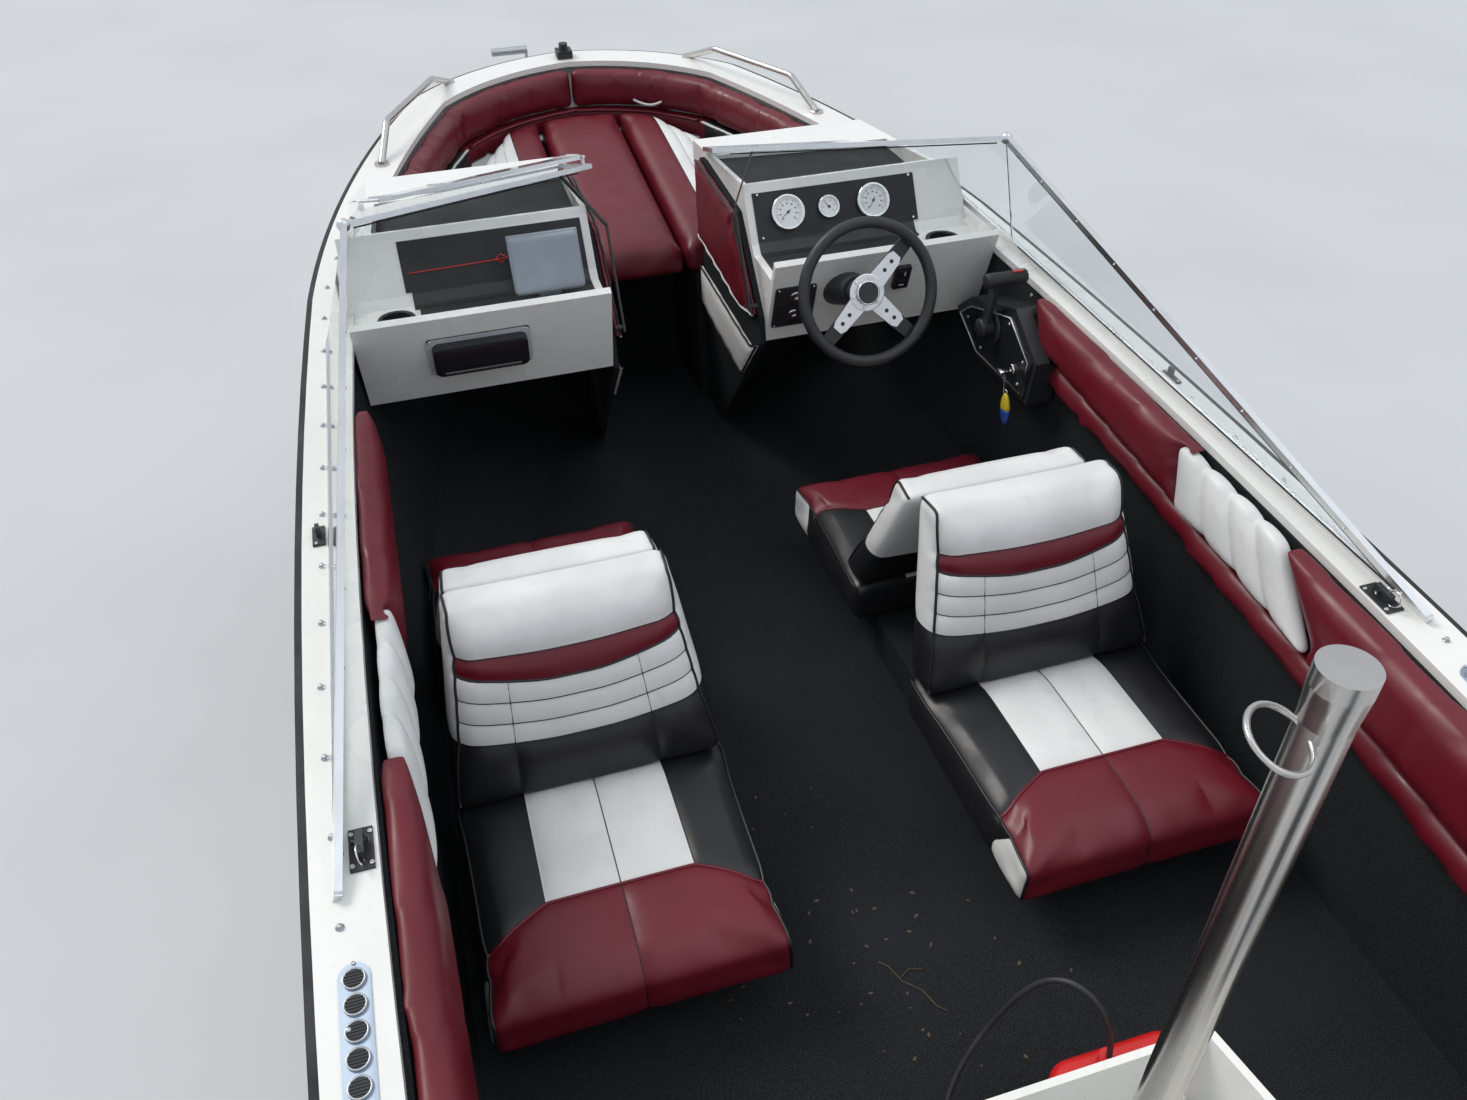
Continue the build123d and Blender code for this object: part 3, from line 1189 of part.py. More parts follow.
save("ski_pylon", pylon)
save("fuel_tank", make_tank())
save("fuel_hose", make_hose(hull))
save("cup_holders", both_sides(make_cup_holder()))
save("deck_fittings", make_deck_fittings())
save("vent_plates", make_vents())
save("bow_rails", make_bow_rails(deck, rub_rail))
save("clamp_bracket", clamp)
save("swivel_bracket", make_swivel())
save("motor_leg", make_motor_leg())
save("motor_cowl", make_motor_cowl())
save("propeller", make_propeller())
save("trailer_frame", make_trailer_frame(bunks, hull_outer))
save("trailer_axle", axle)
save("mudguards", make_mudguards(axle))
save("trailer_bunks", bunks)
save("keel_rollers", make_keel_rollers())
save("winch_post", make_winch_post(hull_outer))
save("winch_handle", make_winch_handle())
save("jockey_fork", make_jockey_fork())
save("jockey_wheel", make_jockey_wheel())
save("right_tyre", tyre)
save("right_rim", rim)
save("left_tyre", mirror(tyre, about=Plane.YZ))
save("left_rim", mirror(rim, about=Plane.YZ))
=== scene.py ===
from math import cos, pi, radians, sin

import bmesh
import bpy
import numpy as np
from mathutils import Matrix, Vector
from mathutils.bvhtree import BVHTree


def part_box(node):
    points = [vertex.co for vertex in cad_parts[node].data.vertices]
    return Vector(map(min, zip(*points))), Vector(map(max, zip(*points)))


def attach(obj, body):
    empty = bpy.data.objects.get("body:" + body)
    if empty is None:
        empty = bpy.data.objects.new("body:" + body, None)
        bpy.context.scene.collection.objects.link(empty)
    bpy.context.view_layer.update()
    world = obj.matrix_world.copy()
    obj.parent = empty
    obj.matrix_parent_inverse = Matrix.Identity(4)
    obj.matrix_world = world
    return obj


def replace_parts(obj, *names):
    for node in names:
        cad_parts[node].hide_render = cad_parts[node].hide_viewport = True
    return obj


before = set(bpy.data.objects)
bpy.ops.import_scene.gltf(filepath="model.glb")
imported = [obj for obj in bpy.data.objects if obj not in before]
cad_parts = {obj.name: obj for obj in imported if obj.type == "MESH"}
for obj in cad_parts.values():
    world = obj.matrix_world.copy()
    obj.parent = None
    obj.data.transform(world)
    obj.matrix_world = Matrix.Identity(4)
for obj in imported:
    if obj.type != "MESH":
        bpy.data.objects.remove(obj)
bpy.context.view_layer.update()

# Camera, sky and floor.
# The camera looks down into the cockpit over the transom, from standing height beside the motor. Distances
# along the boat are counted from the transom and moved back by AFT.
AFT = 2.43
YAW, PITCH, ROLL = radians(15.835), radians(38.645), radians(-1.5585)
CAMERA_PLACE = (-0.64886, -AFT, 2.76)


def at(x, y, z):
    """A place given in metres, with y from the transom, in the shared frame."""
    return np.array([x, y - AFT, z], float)


forward = Vector((sin(YAW) * cos(PITCH), cos(YAW) * cos(PITCH), -sin(PITCH)))
level_right = Vector((cos(YAW), -sin(YAW), 0))
level_up = level_right.cross(forward)
right = level_right * cos(ROLL) + level_up * sin(ROLL)
up = level_up * cos(ROLL) - level_right * sin(ROLL)
lens = bpy.data.cameras.new("camera")
lens.sensor_fit = "HORIZONTAL"
lens.sensor_width = 36.0
lens.lens = 27.672
lens.clip_end = 100


def in_scene(name, data):
    """A new object in the scene."""
    made = bpy.data.objects.new(name, data)
    bpy.context.scene.collection.objects.link(made)
    return made


camera = in_scene("camera", lens)
camera.matrix_world = Matrix.Translation(CAMERA_PLACE) @ Matrix((right, up, -forward)).transposed().to_4x4()
bpy.context.scene.camera = camera

world = bpy.data.worlds.new("sky")
world.use_nodes = True
sky = world.node_tree.nodes["Background"]
sky.inputs["Color"].default_value = (0.80, 0.85, 0.92, 1)
sky.inputs["Strength"].default_value = 0.88
bpy.context.scene.world = world
LAMPS = [("sun", (42, 0, -132), 1.7, 25, (1, 0.96, 0.9)), ("fill", (30, 0, 60), 0.5, 60, (0.9, 0.95, 1))]
for name, turn, power, softness, colour in LAMPS:
    light = bpy.data.lights.new(name, "SUN")
    light.energy = power
    light.angle = radians(softness)
    light.color = colour
    in_scene(name, light).rotation_euler = [radians(v) for v in turn]
bpy.context.scene.view_settings.view_transform = "Standard"


FLOAT, COLOUR, VECTOR = "NodeSocketFloat", "NodeSocketColor", "NodeSocketVector"


def node_group(name, inputs, output, kind):
    """An empty shader group with named inputs and one output of a kind, and its two end nodes."""
    group = bpy.data.node_groups.new(name, "ShaderNodeTree")
    for label, socket_type, value in inputs:
        socket = group.interface.new_socket(name=label, in_out="INPUT", socket_type=socket_type)
        if value is not None:
            socket.default_value = value
    group.interface.new_socket(name=output, in_out="OUTPUT", socket_type=kind)
    return group, group.nodes.new("NodeGroupInput"), group.nodes.new("NodeGroupOutput")


def linked(group, *pairs):
    """The group, with each pair of sockets linked."""
    for source, target in pairs:
        group.links.new(source, target)
    return group


def make_cloudy():
    """A colour goes to a second one in soft clouds: noise between two limits mixes them."""
    group, start, end = node_group("cloudy", [
        ("Colour", COLOUR, None), ("Second", COLOUR, None), ("Vector", VECTOR, None), ("Scale", FLOAT, 5.0),
        ("Low", FLOAT, 0.4), ("High", FLOAT, 0.7)], "Colour", COLOUR)
    noise, limits, mix = (group.nodes.new("ShaderNode" + kind) for kind in ("TexNoise", "MapRange", "Mix"))
    noise.inputs["Detail"].default_value = 4
    mix.data_type = "RGBA"
    given = start.outputs
    return linked(group, (given["Vector"], noise.inputs["Vector"]), (given["Scale"], noise.inputs["Scale"]),
                  (noise.outputs[0], limits.inputs["Value"]), (given["Low"], limits.inputs["From Min"]),
                  (given["High"], limits.inputs["From Max"]), (limits.outputs[0], mix.inputs["Factor"]),
                  (given["Colour"], mix.inputs[6]), (given["Second"], mix.inputs[7]), (mix.outputs[2], end.inputs[0]))


EFFECTS = {"cloudy": make_cloudy()}


class Finish:
    """A Principled material that takes the shared effects one after another."""

    def __init__(self, name, colour, rough, metal=0.0, coat=0.0, specular=0.5, stretch=(1, 1, 1)):
        self.mat = bpy.data.materials.new(name)
        self.mat.use_nodes = True
        self.mat.diffuse_color = (*colour, 1)
        self.tree = self.mat.node_tree
        self.main = self.tree.nodes["Principled BSDF"]
        self.colour = colour
        for key, value in (("Base Color", (*colour, 1)), ("Roughness", rough), ("Metallic", metal),
                           ("Coat Weight", coat), ("Coat Roughness", 0.12), ("Specular IOR Level", specular)):
            self.main.inputs[key].default_value = value
        mapping = self.tree.nodes.new("ShaderNodeMapping")
        mapping.inputs["Scale"].default_value = stretch
        self.tree.links.new(self.tree.nodes.new("ShaderNodeTexCoord").outputs["Object"], mapping.inputs["Vector"])
        self.coords = mapping.outputs[0]

    def effect(self, name, target, **values):
        """Places a shared effect in front of one of the main shader's sockets."""
        node = self.tree.nodes.new("ShaderNodeGroup")
        node.node_tree = EFFECTS[name]
        for key, value in values.items():
            node.inputs[key].default_value = value
        self.tree.links.new(self.coords, node.inputs["Vector"])
        socket = self.main.inputs[target]
        chained = {"Base Color": "Colour", "Normal": "Normal"}.get(target)
        if chained and socket.links:
            self.tree.links.new(socket.links[0].from_socket, node.inputs[chained])
        elif chained == "Colour":
            node.inputs[chained].default_value = socket.default_value
        self.tree.links.new(node.outputs[0], socket)
        return self

    def cloudy(self, factor, scale, low=0.4, high=0.75):
        """Soft clouds of the colour times a factor."""
        second = tuple(min(1.0, c * factor) for c in self.colour)
        return self.effect("cloudy", "Base Color", Second=(*second, 1), Scale=scale, Low=low, High=high)

    def gloss(self, scale, low, high):
        """Roughness that wanders between two values."""
        return self.effect("gloss", "Roughness", Scale=scale, Low=low, High=high)

    def relief(self, scale, strength, distance=0.001):
        """Soft bumps of noise."""
        return self.effect("relief", "Normal", Scale=scale, Strength=strength, Distance=distance)

    def cells(self, scale, strength, distance=0.0005):
        """The small cells of an embossed skin."""
        return self.effect("cells", "Normal", Scale=scale, Strength=strength, Distance=distance)


def piece(name, points, faces, materials, slot, index=None, smooth=True, body="boat"):
    """A new mesh from arrays, with its material or materials; with a slot it rides on a body."""
    mesh = bpy.data.meshes.new(name)
    mesh.from_pydata(points, [], faces)
    for material in materials:
        mesh.materials.append(material)
    if index is not None:
        mesh.polygons.foreach_set("material_index", np.asarray(index, dtype=np.int32))
    mesh.polygons.foreach_set("use_smooth", np.full(len(mesh.polygons), smooth))
    mesh.update()
    made = in_scene(name, mesh)
    if slot:
        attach(made, body)
    return made


FLOOR_REACH = 40.0
pale = Finish("floor", (0.52, 0.53, 0.54), 0.8).cloudy(0.93, 0.6, 0.4, 0.7).mat
floor = piece("floor", [(x * FLOOR_REACH, y * FLOOR_REACH, 0) for x, y in ((-1, -1), (1, -1), (1, 1), (-1, 1))],
              [(0, 1, 2, 3)], [pale], None, smooth=False)

# Hull, deck, consoles and well.
# Glass fibre mouldings with a polished white gelcoat that has dulled a little, and a black rubber rail
# pressed over the joint of hull and deck.


def make_gloss():
    """Roughness that varies between two values with noise."""
    group, start, end = node_group("gloss", [("Vector", VECTOR, None), ("Scale", FLOAT, 9.0), ("Low", FLOAT, 0.3),
                                             ("High", FLOAT, 0.5)], "Roughness", FLOAT)
    noise, limits = (group.nodes.new("ShaderNode" + kind) for kind in ("TexNoise", "MapRange"))
    limits.inputs["From Min"].default_value = 0.3
    limits.inputs["From Max"].default_value = 0.7
    given = start.outputs
    return linked(group, (given["Vector"], noise.inputs["Vector"]), (given["Scale"], noise.inputs["Scale"]),
                  (noise.outputs[0], limits.inputs["Value"]), (given["Low"], limits.inputs["To Min"]),
                  (given["High"], limits.inputs["To Max"]), (limits.outputs[0], end.inputs[0]))


def make_relief(name, kind):
    """A normal raised by a texture, noise or leather-like cells, on top of another normal."""
    group, start, end = node_group(name, [("Vector", VECTOR, None), ("Scale", FLOAT, 9.0), ("Strength", FLOAT, 0.2),
                                          ("Distance", FLOAT, 0.001), ("Normal", VECTOR, None)], "Normal", VECTOR)
    texture, bump = (group.nodes.new("ShaderNode" + part) for part in (kind, "Bump"))
    given = start.outputs
    return linked(group, (given["Vector"], texture.inputs["Vector"]), (given["Scale"], texture.inputs["Scale"]),
                  (texture.outputs[0], bump.inputs["Height"]), (bump.outputs[0], end.inputs[0]),
                  *((given[key], bump.inputs[key]) for key in ("Strength", "Distance", "Normal")))


EFFECTS.update(gloss=make_gloss(), relief=make_relief("relief", "TexNoise"))


def dress(material, *nodes):
    """Gives carried-over nodes their finish."""
    for name in nodes:
        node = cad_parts[name]
        if not node.material_slots:
            node.data.materials.append(material)
        for slot in node.material_slots:
            slot.material = material


def gelcoat(name, colour):
    """Polished resin, dulled in wide clouds and fine specks."""
    return Finish(name, colour, 0.24, coat=0.25).cloudy(0.94, 2.2, 0.35, 0.7).cloudy(0.9, 55, 0.6, 0.8) \
        .gloss(7, 0.18, 0.36).relief(1.3, 0.12, 0.01).mat


def rubber(name, colour, rough=0.75):
    """Matt, with pale bloom in patches and a fine grain."""
    return Finish(name, colour, rough).cloudy(1.9, 9).gloss(14, rough - 0.08, rough + 0.08) \
        .relief(300, 0.25, 0.0008).mat


dress(gelcoat("gelcoat", (0.79, 0.785, 0.745)), "deck", "port_console", "helm_console", "splash_well")
dress(gelcoat("hull_white", (0.79, 0.80, 0.78)), "hull")
rail_black = rubber("rail_rubber", (0.016, 0.016, 0.018))
dress(rail_black, "rub_rail")

# Carpet on the floor, the side linings, the seat boxes and the console sides.
# A short needled pile, nearly black, with paler fibres where it is worn.
pile = Finish("carpet", (0.0125, 0.0135, 0.0150), 1.0, specular=0.12).cloudy(3.2, 420, 0.45, 0.75) \
    .cloudy(1.9, 2.5, 0.5, 0.8).relief(380, 0.9, 0.003).mat
dress(pile, "cockpit_floor", "side_liners", "bow_seat_base", "console_carpets", "seat_bases", "trailer_bunks")

# Black trim: dash sheets, side panel, switch panels, covers and stays.
# Grained plastic and thin vinyl glued on the gelcoat, matt and a little dusty.


def plastic(name, colour, rough, grain=0.15):
    """Dusty in clouds, with a leathery grain."""
    return Finish(name, colour, rough).cloudy(1.35, 6, 0.4, 0.8).gloss(18, rough - 0.06, rough + 0.08) \
        .relief(700, grain, 0.0006).mat


soft_black = plastic("soft_black", (0.0125, 0.0125, 0.0135), 0.6, 0.3)
black = plastic("black", (0.018, 0.019, 0.021), 0.45)
dress(soft_black, "dash_linings", "dash_mats", "side_sheet", "cup_holders")
dress(black, "switch_panels", "radio_cover", "steering_boss", "steering_wheel", "control_box", "screen_stays",
      "deck_fittings")
dress(plastic("grey_cover", (0.27, 0.29, 0.31), 0.5), "display_unit")

# Bare metal: screen rails, bow rails, ski pole, vent plates, propeller and winch handle.
# Extruded aluminium, polished stainless and chromed steel, drawn or brushed along their length.


def metal(name, colour, rough, grain=(1, 1, 0.05)):
    """Fine scratches and clouds, drawn out along the grain, which is along Z unless stated."""
    return Finish(name, colour, rough, 1.0, stretch=grain).cloudy(0.85, 12, 0.45, 0.8) \
        .gloss(40, rough * 0.75, rough * 1.35).relief(40, 0.05, 0.0006).mat


ALL_WAYS, ALONG_Y = (1, 1, 1), (1, 0.05, 1)
aluminium = metal("aluminium", (0.70, 0.71, 0.72), 0.3, ALONG_Y)
stainless = metal("stainless", (0.56, 0.54, 0.52), 0.24)
chrome = metal("chrome", (0.80, 0.80, 0.81), 0.1, ALL_WAYS)
steel = metal("steel", (0.5, 0.51, 0.53), 0.35, ALL_WAYS)
dress(aluminium, "screen_frames", "centre_window_frame")
dress(stainless, "ski_pylon", "bow_rails")
dress(steel, "propeller", "winch_handle")
dress(metal("brushed", (0.36, 0.43, 0.52), 0.34, ALONG_Y), "vent_plates")

# Windscreen panes.
# Clear acrylic sheet, bent round the corners and clamped in the rails' slots.
acrylic = Finish("screen", (0.93, 0.97, 0.98), 0.03)
acrylic.main.inputs["Transmission Weight"].default_value = 1.0
acrylic.main.inputs["IOR"].default_value = 1.2
dress(acrylic.relief(2.5, 0.04, 0.004).mat, "screen_panes", "centre_window_pane")

# Outboard motor and fuel tank.
# A glossy black cover over satin dark grey castings, and a red painted tank.


def paint(name, colour, rough, coat=0.5):
    """Sprayed paint under a clear coat, a little uneven."""
    return Finish(name, colour, rough, coat=coat).cloudy(0.8, 5, 0.45, 0.8).gloss(16, rough - 0.08, rough + 0.1) \
        .relief(160, 0.05, 0.0008).mat


motor_grey = paint("motor_grey", (0.035, 0.037, 0.042), 0.38, 0.2)
dress(paint("motor_black", (0.016, 0.017, 0.02), 0.25), "motor_cowl")
dress(motor_grey, "motor_leg", "clamp_bracket", "swivel_bracket")
dress(paint("tank_red", (0.60, 0.012, 0.010), 0.35, 0.2), "fuel_tank")

# Trailer.
# Hot dipped steel with its large dull crystals, black rollers and tyres, and painted rims.
zinc = Finish("galvanised", (0.50, 0.52, 0.54), 0.42, 0.85).cloudy(1.2, 3, 0.5, 0.8).cloudy(0.72, 38, 0.45, 0.6) \
    .gloss(45, 0.36, 0.55).relief(90, 0.1, 0.001).mat
dress(zinc, "trailer_frame", "trailer_axle", "mudguards", "winch_post", "jockey_fork")
dress(rubber("roller", (0.02, 0.02, 0.022), 0.6), "keel_rollers", "jockey_wheel")
dress(rubber("tyre", (0.018, 0.018, 0.019), 0.8), "right_tyre", "left_tyre")
dress(paint("wheel_white", (0.62, 0.63, 0.64), 0.35, 0.3), "right_rim", "left_rim")

# Fuel hose.
# Black rubber hose of 10 mm, from the tank's fitting in a low arc to the floor and out through the transom.
HOSE_ROUTE = [(150, 700, 990.4), (149, 705, 1036), (142, 723, 1077), (126, 751, 1103), (103, 782, 1106),
              (79, 806, 1081), (53, 819, 1036), (19, 824, 972), (-27, 815, 902), (-73, 786, 848), (-109, 736, 809),
              (-134, 664, 782), (-153, 574, 770), (-168, 470, 766), (-180, 352, 767), (-189, 246, 778),
              (-195, 162, 806), (-199, 98, 848), (-201, 30, 898)]
HOSE_METRES = [tuple(at(x / 1000, y / 1000, z / 1000)) for x, y, z in HOSE_ROUTE]
hose_curve = bpy.data.curves.new("fuel_hose_line", "CURVE")
hose_curve.dimensions = "3D"
hose_curve.resolution_u = 8
hose_curve.bevel_depth = 0.005
hose_curve.bevel_resolution = 3
hose_curve.use_fill_caps = True
hose_line = hose_curve.splines.new("NURBS")
hose_line.points.add(len(HOSE_METRES) - 1)
for control, place in zip(hose_line.points, HOSE_METRES):
    control.co = (*place, 1)
hose_line.order_u = 3
hose_line.use_endpoint_u = True
hose_curve.materials.append(rubber("hose_rubber", (0.02, 0.02, 0.022), 0.55))
hose = in_scene("fuel_hose_rubber", hose_curve)
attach(hose, "boat")
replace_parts(hose, "fuel_hose")
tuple(HOSE_METRES[0])

# Seat cushions.
# Folding back to back lounge seats: vinyl sewn in burgundy, white and black panels over foam, with welts of
# black cord in the seams. Each is a closed skin, blown up by cloth simulation, then drawn in at its seams.


def vinyl(name, colour, rough=0.42):
    """Embossed vinyl: small cells, soft waves of the foam below and worn specks."""
    return Finish(name, colour, rough, specular=0.45).cloudy(0.84, 5).cloudy(0.9, 46, 0.55, 0.8) \
        .gloss(11, rough - 0.09, rough + 0.09).cells(330, 0.16, 0.0006).relief(16, 0.22, 0.004).mat


EFFECTS["cells"] = make_relief("cells", "TexVoronoi")
burgundy = vinyl("burgundy_vinyl", (0.135, 0.0065, 0.0155))
white = vinyl("white_vinyl", (0.71, 0.71, 0.695), 0.45)
dark = vinyl("black_vinyl", (0.012, 0.012, 0.0135), 0.4)
SKINS = [burgundy, white, dark]
BURGUNDY, WHITE, BLACK = 0, 1, 2
SWELL_STEPS, SWELL_PRESSURE = 20, 4.0
pads = []


def spread(marks, step, close=()):
    """Lattice lines through all marks, even between them, with a near line each side of the close ones."""
    marks = sorted({float(m) for m in marks} | {c + side for c in close for side in (-6.0, 0.0, 6.0)})
    lines = []
    for low, high in zip(marks, marks[1:]):
        count = max(1, round((high - low) / step))
        lines.extend(low + (high - low) * np.arange(count) / count)
    return np.array(lines + [marks[-1]])


def at_all(x, y, z):
    """Places in millimetres, with y from the transom, as metres in the shared frame."""
    return np.stack(np.broadcast_arrays(x, np.asarray(y) - AFT * 1000, z), -1) / 1000


def unit(vectors):
    """Each vector over its length."""
    return vectors / np.maximum(np.linalg.norm(vectors, axis=-1, keepdims=True), 1e-12)


def normals_of(points, faces):
    """Unit normals at the points: the sum of the crossed diagonals of the faces round each."""
    corner = points[faces]
    cross = np.cross(corner[:, 2] - corner[:, 0], corner[:, 3] - corner[:, 1])
    total = np.zeros_like(points)
    for i in range(4):
        np.add.at(total, faces[:, i], cross)
    return unit(total)


def tube_mesh(path, radius, sides, closed=False, ups=None):
    """Circles of the radius round each point of a path, across its run; an open path ends in flat caps."""
    path = np.asarray(path, float)
    run = unit(np.roll(path, -1, 0) - np.roll(path, 1, 0) if closed else np.gradient(path, axis=0))
    if ups is None:
        ups = np.tile([0.13, 0.21, 0.97] if abs(run[:, 2]).max() < 0.9 else [0.97, 0.21, 0.13], (len(path), 1))
    side = unit(np.cross(run, ups))
    over = np.cross(side, run)
    angle = 2 * pi * np.arange(sides) / sides
    ring = np.cos(angle)[None, :, None] * side[:, None] + np.sin(angle)[None, :, None] * over[:, None]
    points = (path[:, None] + radius * ring).reshape(-1, 3)
    i, j = np.meshgrid(np.arange(len(path) - (not closed)), np.arange(sides), indexing="ij")
    n, m = (i + 1) % len(path), (j + 1) % sides
    faces = np.stack([i * sides + m, n * sides + m, n * sides + j, i * sides + j], -1).reshape(-1, 4).tolist()
    if not closed:
        faces += [list(range(sides)), list(range((len(path) - 1) * sides, len(path) * sides))[::-1]]
    return points, faces


def merged(parts):
    """Several (points, faces) as one."""
    points, faces, count = [], [], 0
    for part_points, part_faces in parts:
        points.append(np.asarray(part_points, float))
        faces += [[count + v for v in face] for face in part_faces]
        count += len(part_points)
    return np.concatenate(points), faces


def lattice_skin(lines):
    """The outside of a box of lattice lines: numbers on the lattice, points, outward faces and their sides."""
    grid = np.stack(np.meshgrid(*lines, indexing="ij"), -1)
    ends = [(axis, end) for axis in range(3) for end in (0, -1)]
    skin = np.zeros(grid.shape[:3], bool)
    for axis, end in ends:
        skin[(slice(None),) * axis + (end,)] = True
    number = np.full(skin.shape, -1)
    number[skin] = np.arange(skin.sum())
    faces, sides = [], []
    for axis, end in ends:
        sheet = np.take(number, end, axis=axis)
        quads = np.stack([sheet[:-1, :-1], sheet[1:, :-1], sheet[1:, 1:], sheet[:-1, 1:]], -1).reshape(-1, 4)
        faces.append(quads[:, ::-1] if (end == 0) != (axis == 1) else quads)
        sides += [(axis, end)] * len(quads)
    return number, grid[skin], np.concatenate(faces), np.array(sides).T


def round_off(points, low, high, radius):
    """A box's points with its edges made round: each one's way out of the inner box gets its longest side's length."""
    inner = np.clip(points, low + radius, high - radius)
    away = points - inner
    length = np.maximum(np.linalg.norm(away, axis=1, keepdims=True), 1e-9)
    return inner + away * np.abs(away).max(axis=1, keepdims=True) / length


class Pad:
    """A stuffed piece: the skin of a box of lattice lines, with round edges, put in its place by a warp."""

    def __init__(self, name, node, lines, radius, place, zone, rest, cap, slot="burgundy"):
        self.name, self.node, self.cap, self.slot, self.fill, self.lines = name, node, cap, slot, 0.7, lines
        self.number, box, self.faces, (axes, ends) = lattice_skin(lines)
        low, high = (np.array([line[end] for line in lines]) for end in (0, -1))
        self.start = place(round_off(box, low, high, radius))
        corner = self.start[self.faces]
        if np.einsum("ij,ij->i", corner[:, 0], np.cross(corner[:, 1], corner[:, 2])).sum() < 0:
            self.faces = self.faces[:, ::-1]
        index = zone(box[self.faces].mean(axis=1), axes, ends)
        self.enlist(piece(name, self.start, self.faces.tolist(), SKINS, None, index), rest(box))

    def enlist(self, made, held):
        """Notes the piece's object and its held points, and adds it to the pads."""
        self.object = made
        made.vertex_groups.new(name="rest").add(np.flatnonzero(held).tolist(), 1.0, "REPLACE")
        self.seams, self.welts, self.creases = [], [], []
        pads.append(self)

    def walk(self, corners):
        """The skin's point numbers along lattice lines through the corners."""
        spots = [[int(np.abs(line - value).argmin()) for line, value in zip(self.lines, corner)] for corner in corners]
        path = [tuple(spots[0])]
        for a, b in zip(spots, spots[1:]):
            for step in range(max(abs(p - q) for p, q in zip(a, b))):
                here = path[-1]
                path.append(tuple(h + (q > h) - (q < h) if p != q else h for h, p, q in zip(here, a, b)))
        return [self.number[spot] for spot in path if self.number[spot] >= 0]

    def seam(self, corners, depth=0.006, width=0.007):
        """A line that is drawn in."""
        self.seams.append((self.walk(corners), depth, width))

    def welt(self, corners, radius=0.0032, colour=BLACK, proud=0.2):
        """A cord on a line, its middle a share of its radius above the skin."""
        self.welts.append((self.walk(corners), radius, colour, proud))

    def painted_seam_shade(self, corners, proud=0.0):
        """Painted seam shade: a thin black cord laid along a plain seam to stand in for the shade in its crease; in a
        deep seam it stands proud of the mesh before its rounding.
        """
        self.welt(corners, 0.0011, BLACK, proud)

    def trace(self, path, points, normals):
        """The places of a path's points on the skin, and the normals there."""
        return points[path], normals[path]

    def coordinates(self):
        """The mesh's points."""
        mesh = self.object.data
        points = np.empty(len(mesh.vertices) * 3)
        mesh.vertices.foreach_get("co", points)
        return points.reshape(-1, 3)

    def set_coordinates(self, points):
        """Moves the mesh's points."""
        self.object.data.vertices.foreach_set("co", np.asarray(points, float).ravel())
        self.object.data.update()


def swell(items):
    """Cloth blown up from inside by pressure, without gravity and with its resting points held; the way that each
    point moves is capped by a hyperbolic tangent."""
    for pad in items:
        cloth = pad.object.modifiers.new("swell", "CLOTH")
        cloth.settings.use_pressure = True
        cloth.settings.uniform_pressure_force = SWELL_PRESSURE
        cloth.settings.effector_weights.gravity = 0
        cloth.settings.vertex_group_mass = "rest"
        cloth.settings.quality = 4
        cloth.settings.mass = 0.35
        cloth.settings.tension_stiffness = 12
        cloth.settings.compression_stiffness = 12
        cloth.collision_settings.use_collision = False
        cloth.point_cache.frame_start = 1
        cloth.point_cache.frame_end = SWELL_STEPS
    for step in range(1, SWELL_STEPS + 1):
        bpy.context.scene.frame_set(step)
    graph = bpy.context.evaluated_depsgraph_get()
    for pad in items:
        blown = pad.object.evaluated_get(graph).to_mesh()
        points = np.empty(len(blown.vertices) * 3)
        blown.vertices.foreach_get("co", points)
        move = points.reshape(-1, 3) - pad.start
        length = np.maximum(np.linalg.norm(move, axis=1, keepdims=True), 1e-9)
        pad.object.evaluated_get(graph).to_mesh_clear()
        pad.object.modifiers.remove(pad.object.modifiers["swell"])
        pad.set_coordinates(pad.start + move * np.minimum(1, pad.cap * np.tanh(length / pad.cap) / length))
    bpy.context.scene.frame_set(1)


SEAM_BATCH = 40


def finish_pad(pad):
    """Draws the seams in by a bell curve of the distance, lays the welts and the painted seam shade lines, rounds by
    one subdivision, rides it on the boat and hides its CAD node.
    """
    points = pad.coordinates()
    normals = normals_of(points, pad.faces)
    pull = np.zeros(len(points))
    for origin, across, depth, width in pad.creases:
        pull = np.maximum(pull, depth * np.exp(-((points - origin) @ across / width) ** 2))
    for path, depth, width in pad.seams:
        line = pad.trace(path, points, normals)[0]
        gap = np.full(len(points), 9.0)
        for start in range(0, len(line), SEAM_BATCH):
            part = line[start:start + SEAM_BATCH]
            gap = np.minimum(gap, np.linalg.norm(points[:, None] - part[None], axis=2).min(axis=1))
        pull = np.maximum(pull, depth * np.exp(-(gap / width) ** 2))
    pad.set_coordinates(points - normals * pull[:, None])
    points = pad.coordinates()
    normals = normals_of(points, pad.faces)
    for colour, slot in ((BURGUNDY, "burgundy"), (WHITE, "white_vinyl"), (BLACK, "black_trim")):
        tubes = []
        for path, radius, shade, proud in pad.welts:
            if shade == colour:
                line, ups = pad.trace(path, points, normals)
                line = line + ups * radius * proud
                smooth = line.copy()
                smooth[1:-1] = 0.5 * line[1:-1] + 0.25 * (line[:-2] + line[2:])
                tubes.append(tube_mesh(smooth, radius, 6, False, ups))
        if tubes:
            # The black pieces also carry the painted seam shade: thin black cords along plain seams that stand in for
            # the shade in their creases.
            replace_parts(piece(f"{pad.name}_welt_{colour}", *merged(tubes), [SKINS[colour]], slot), pad.node)
    smooth = pad.object.modifiers.new("round", "SUBSURF")
    smooth.levels = smooth.render_levels = 1
    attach(pad.object, "boat")
    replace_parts(pad.object, pad.node)


SEAT_MIDDLES = {"port": -525.0, "helm": 475.0}
SEAT_HALF, SEAT_LOW, SEAT_HIGH = 280.0, 861.0, 972.0
QUAD_HALF, BAND, CORNER_PANEL = 140.0, 205.0, 135.0
SLANT, SLANT_RUN, CROWN = 64, 130, 10


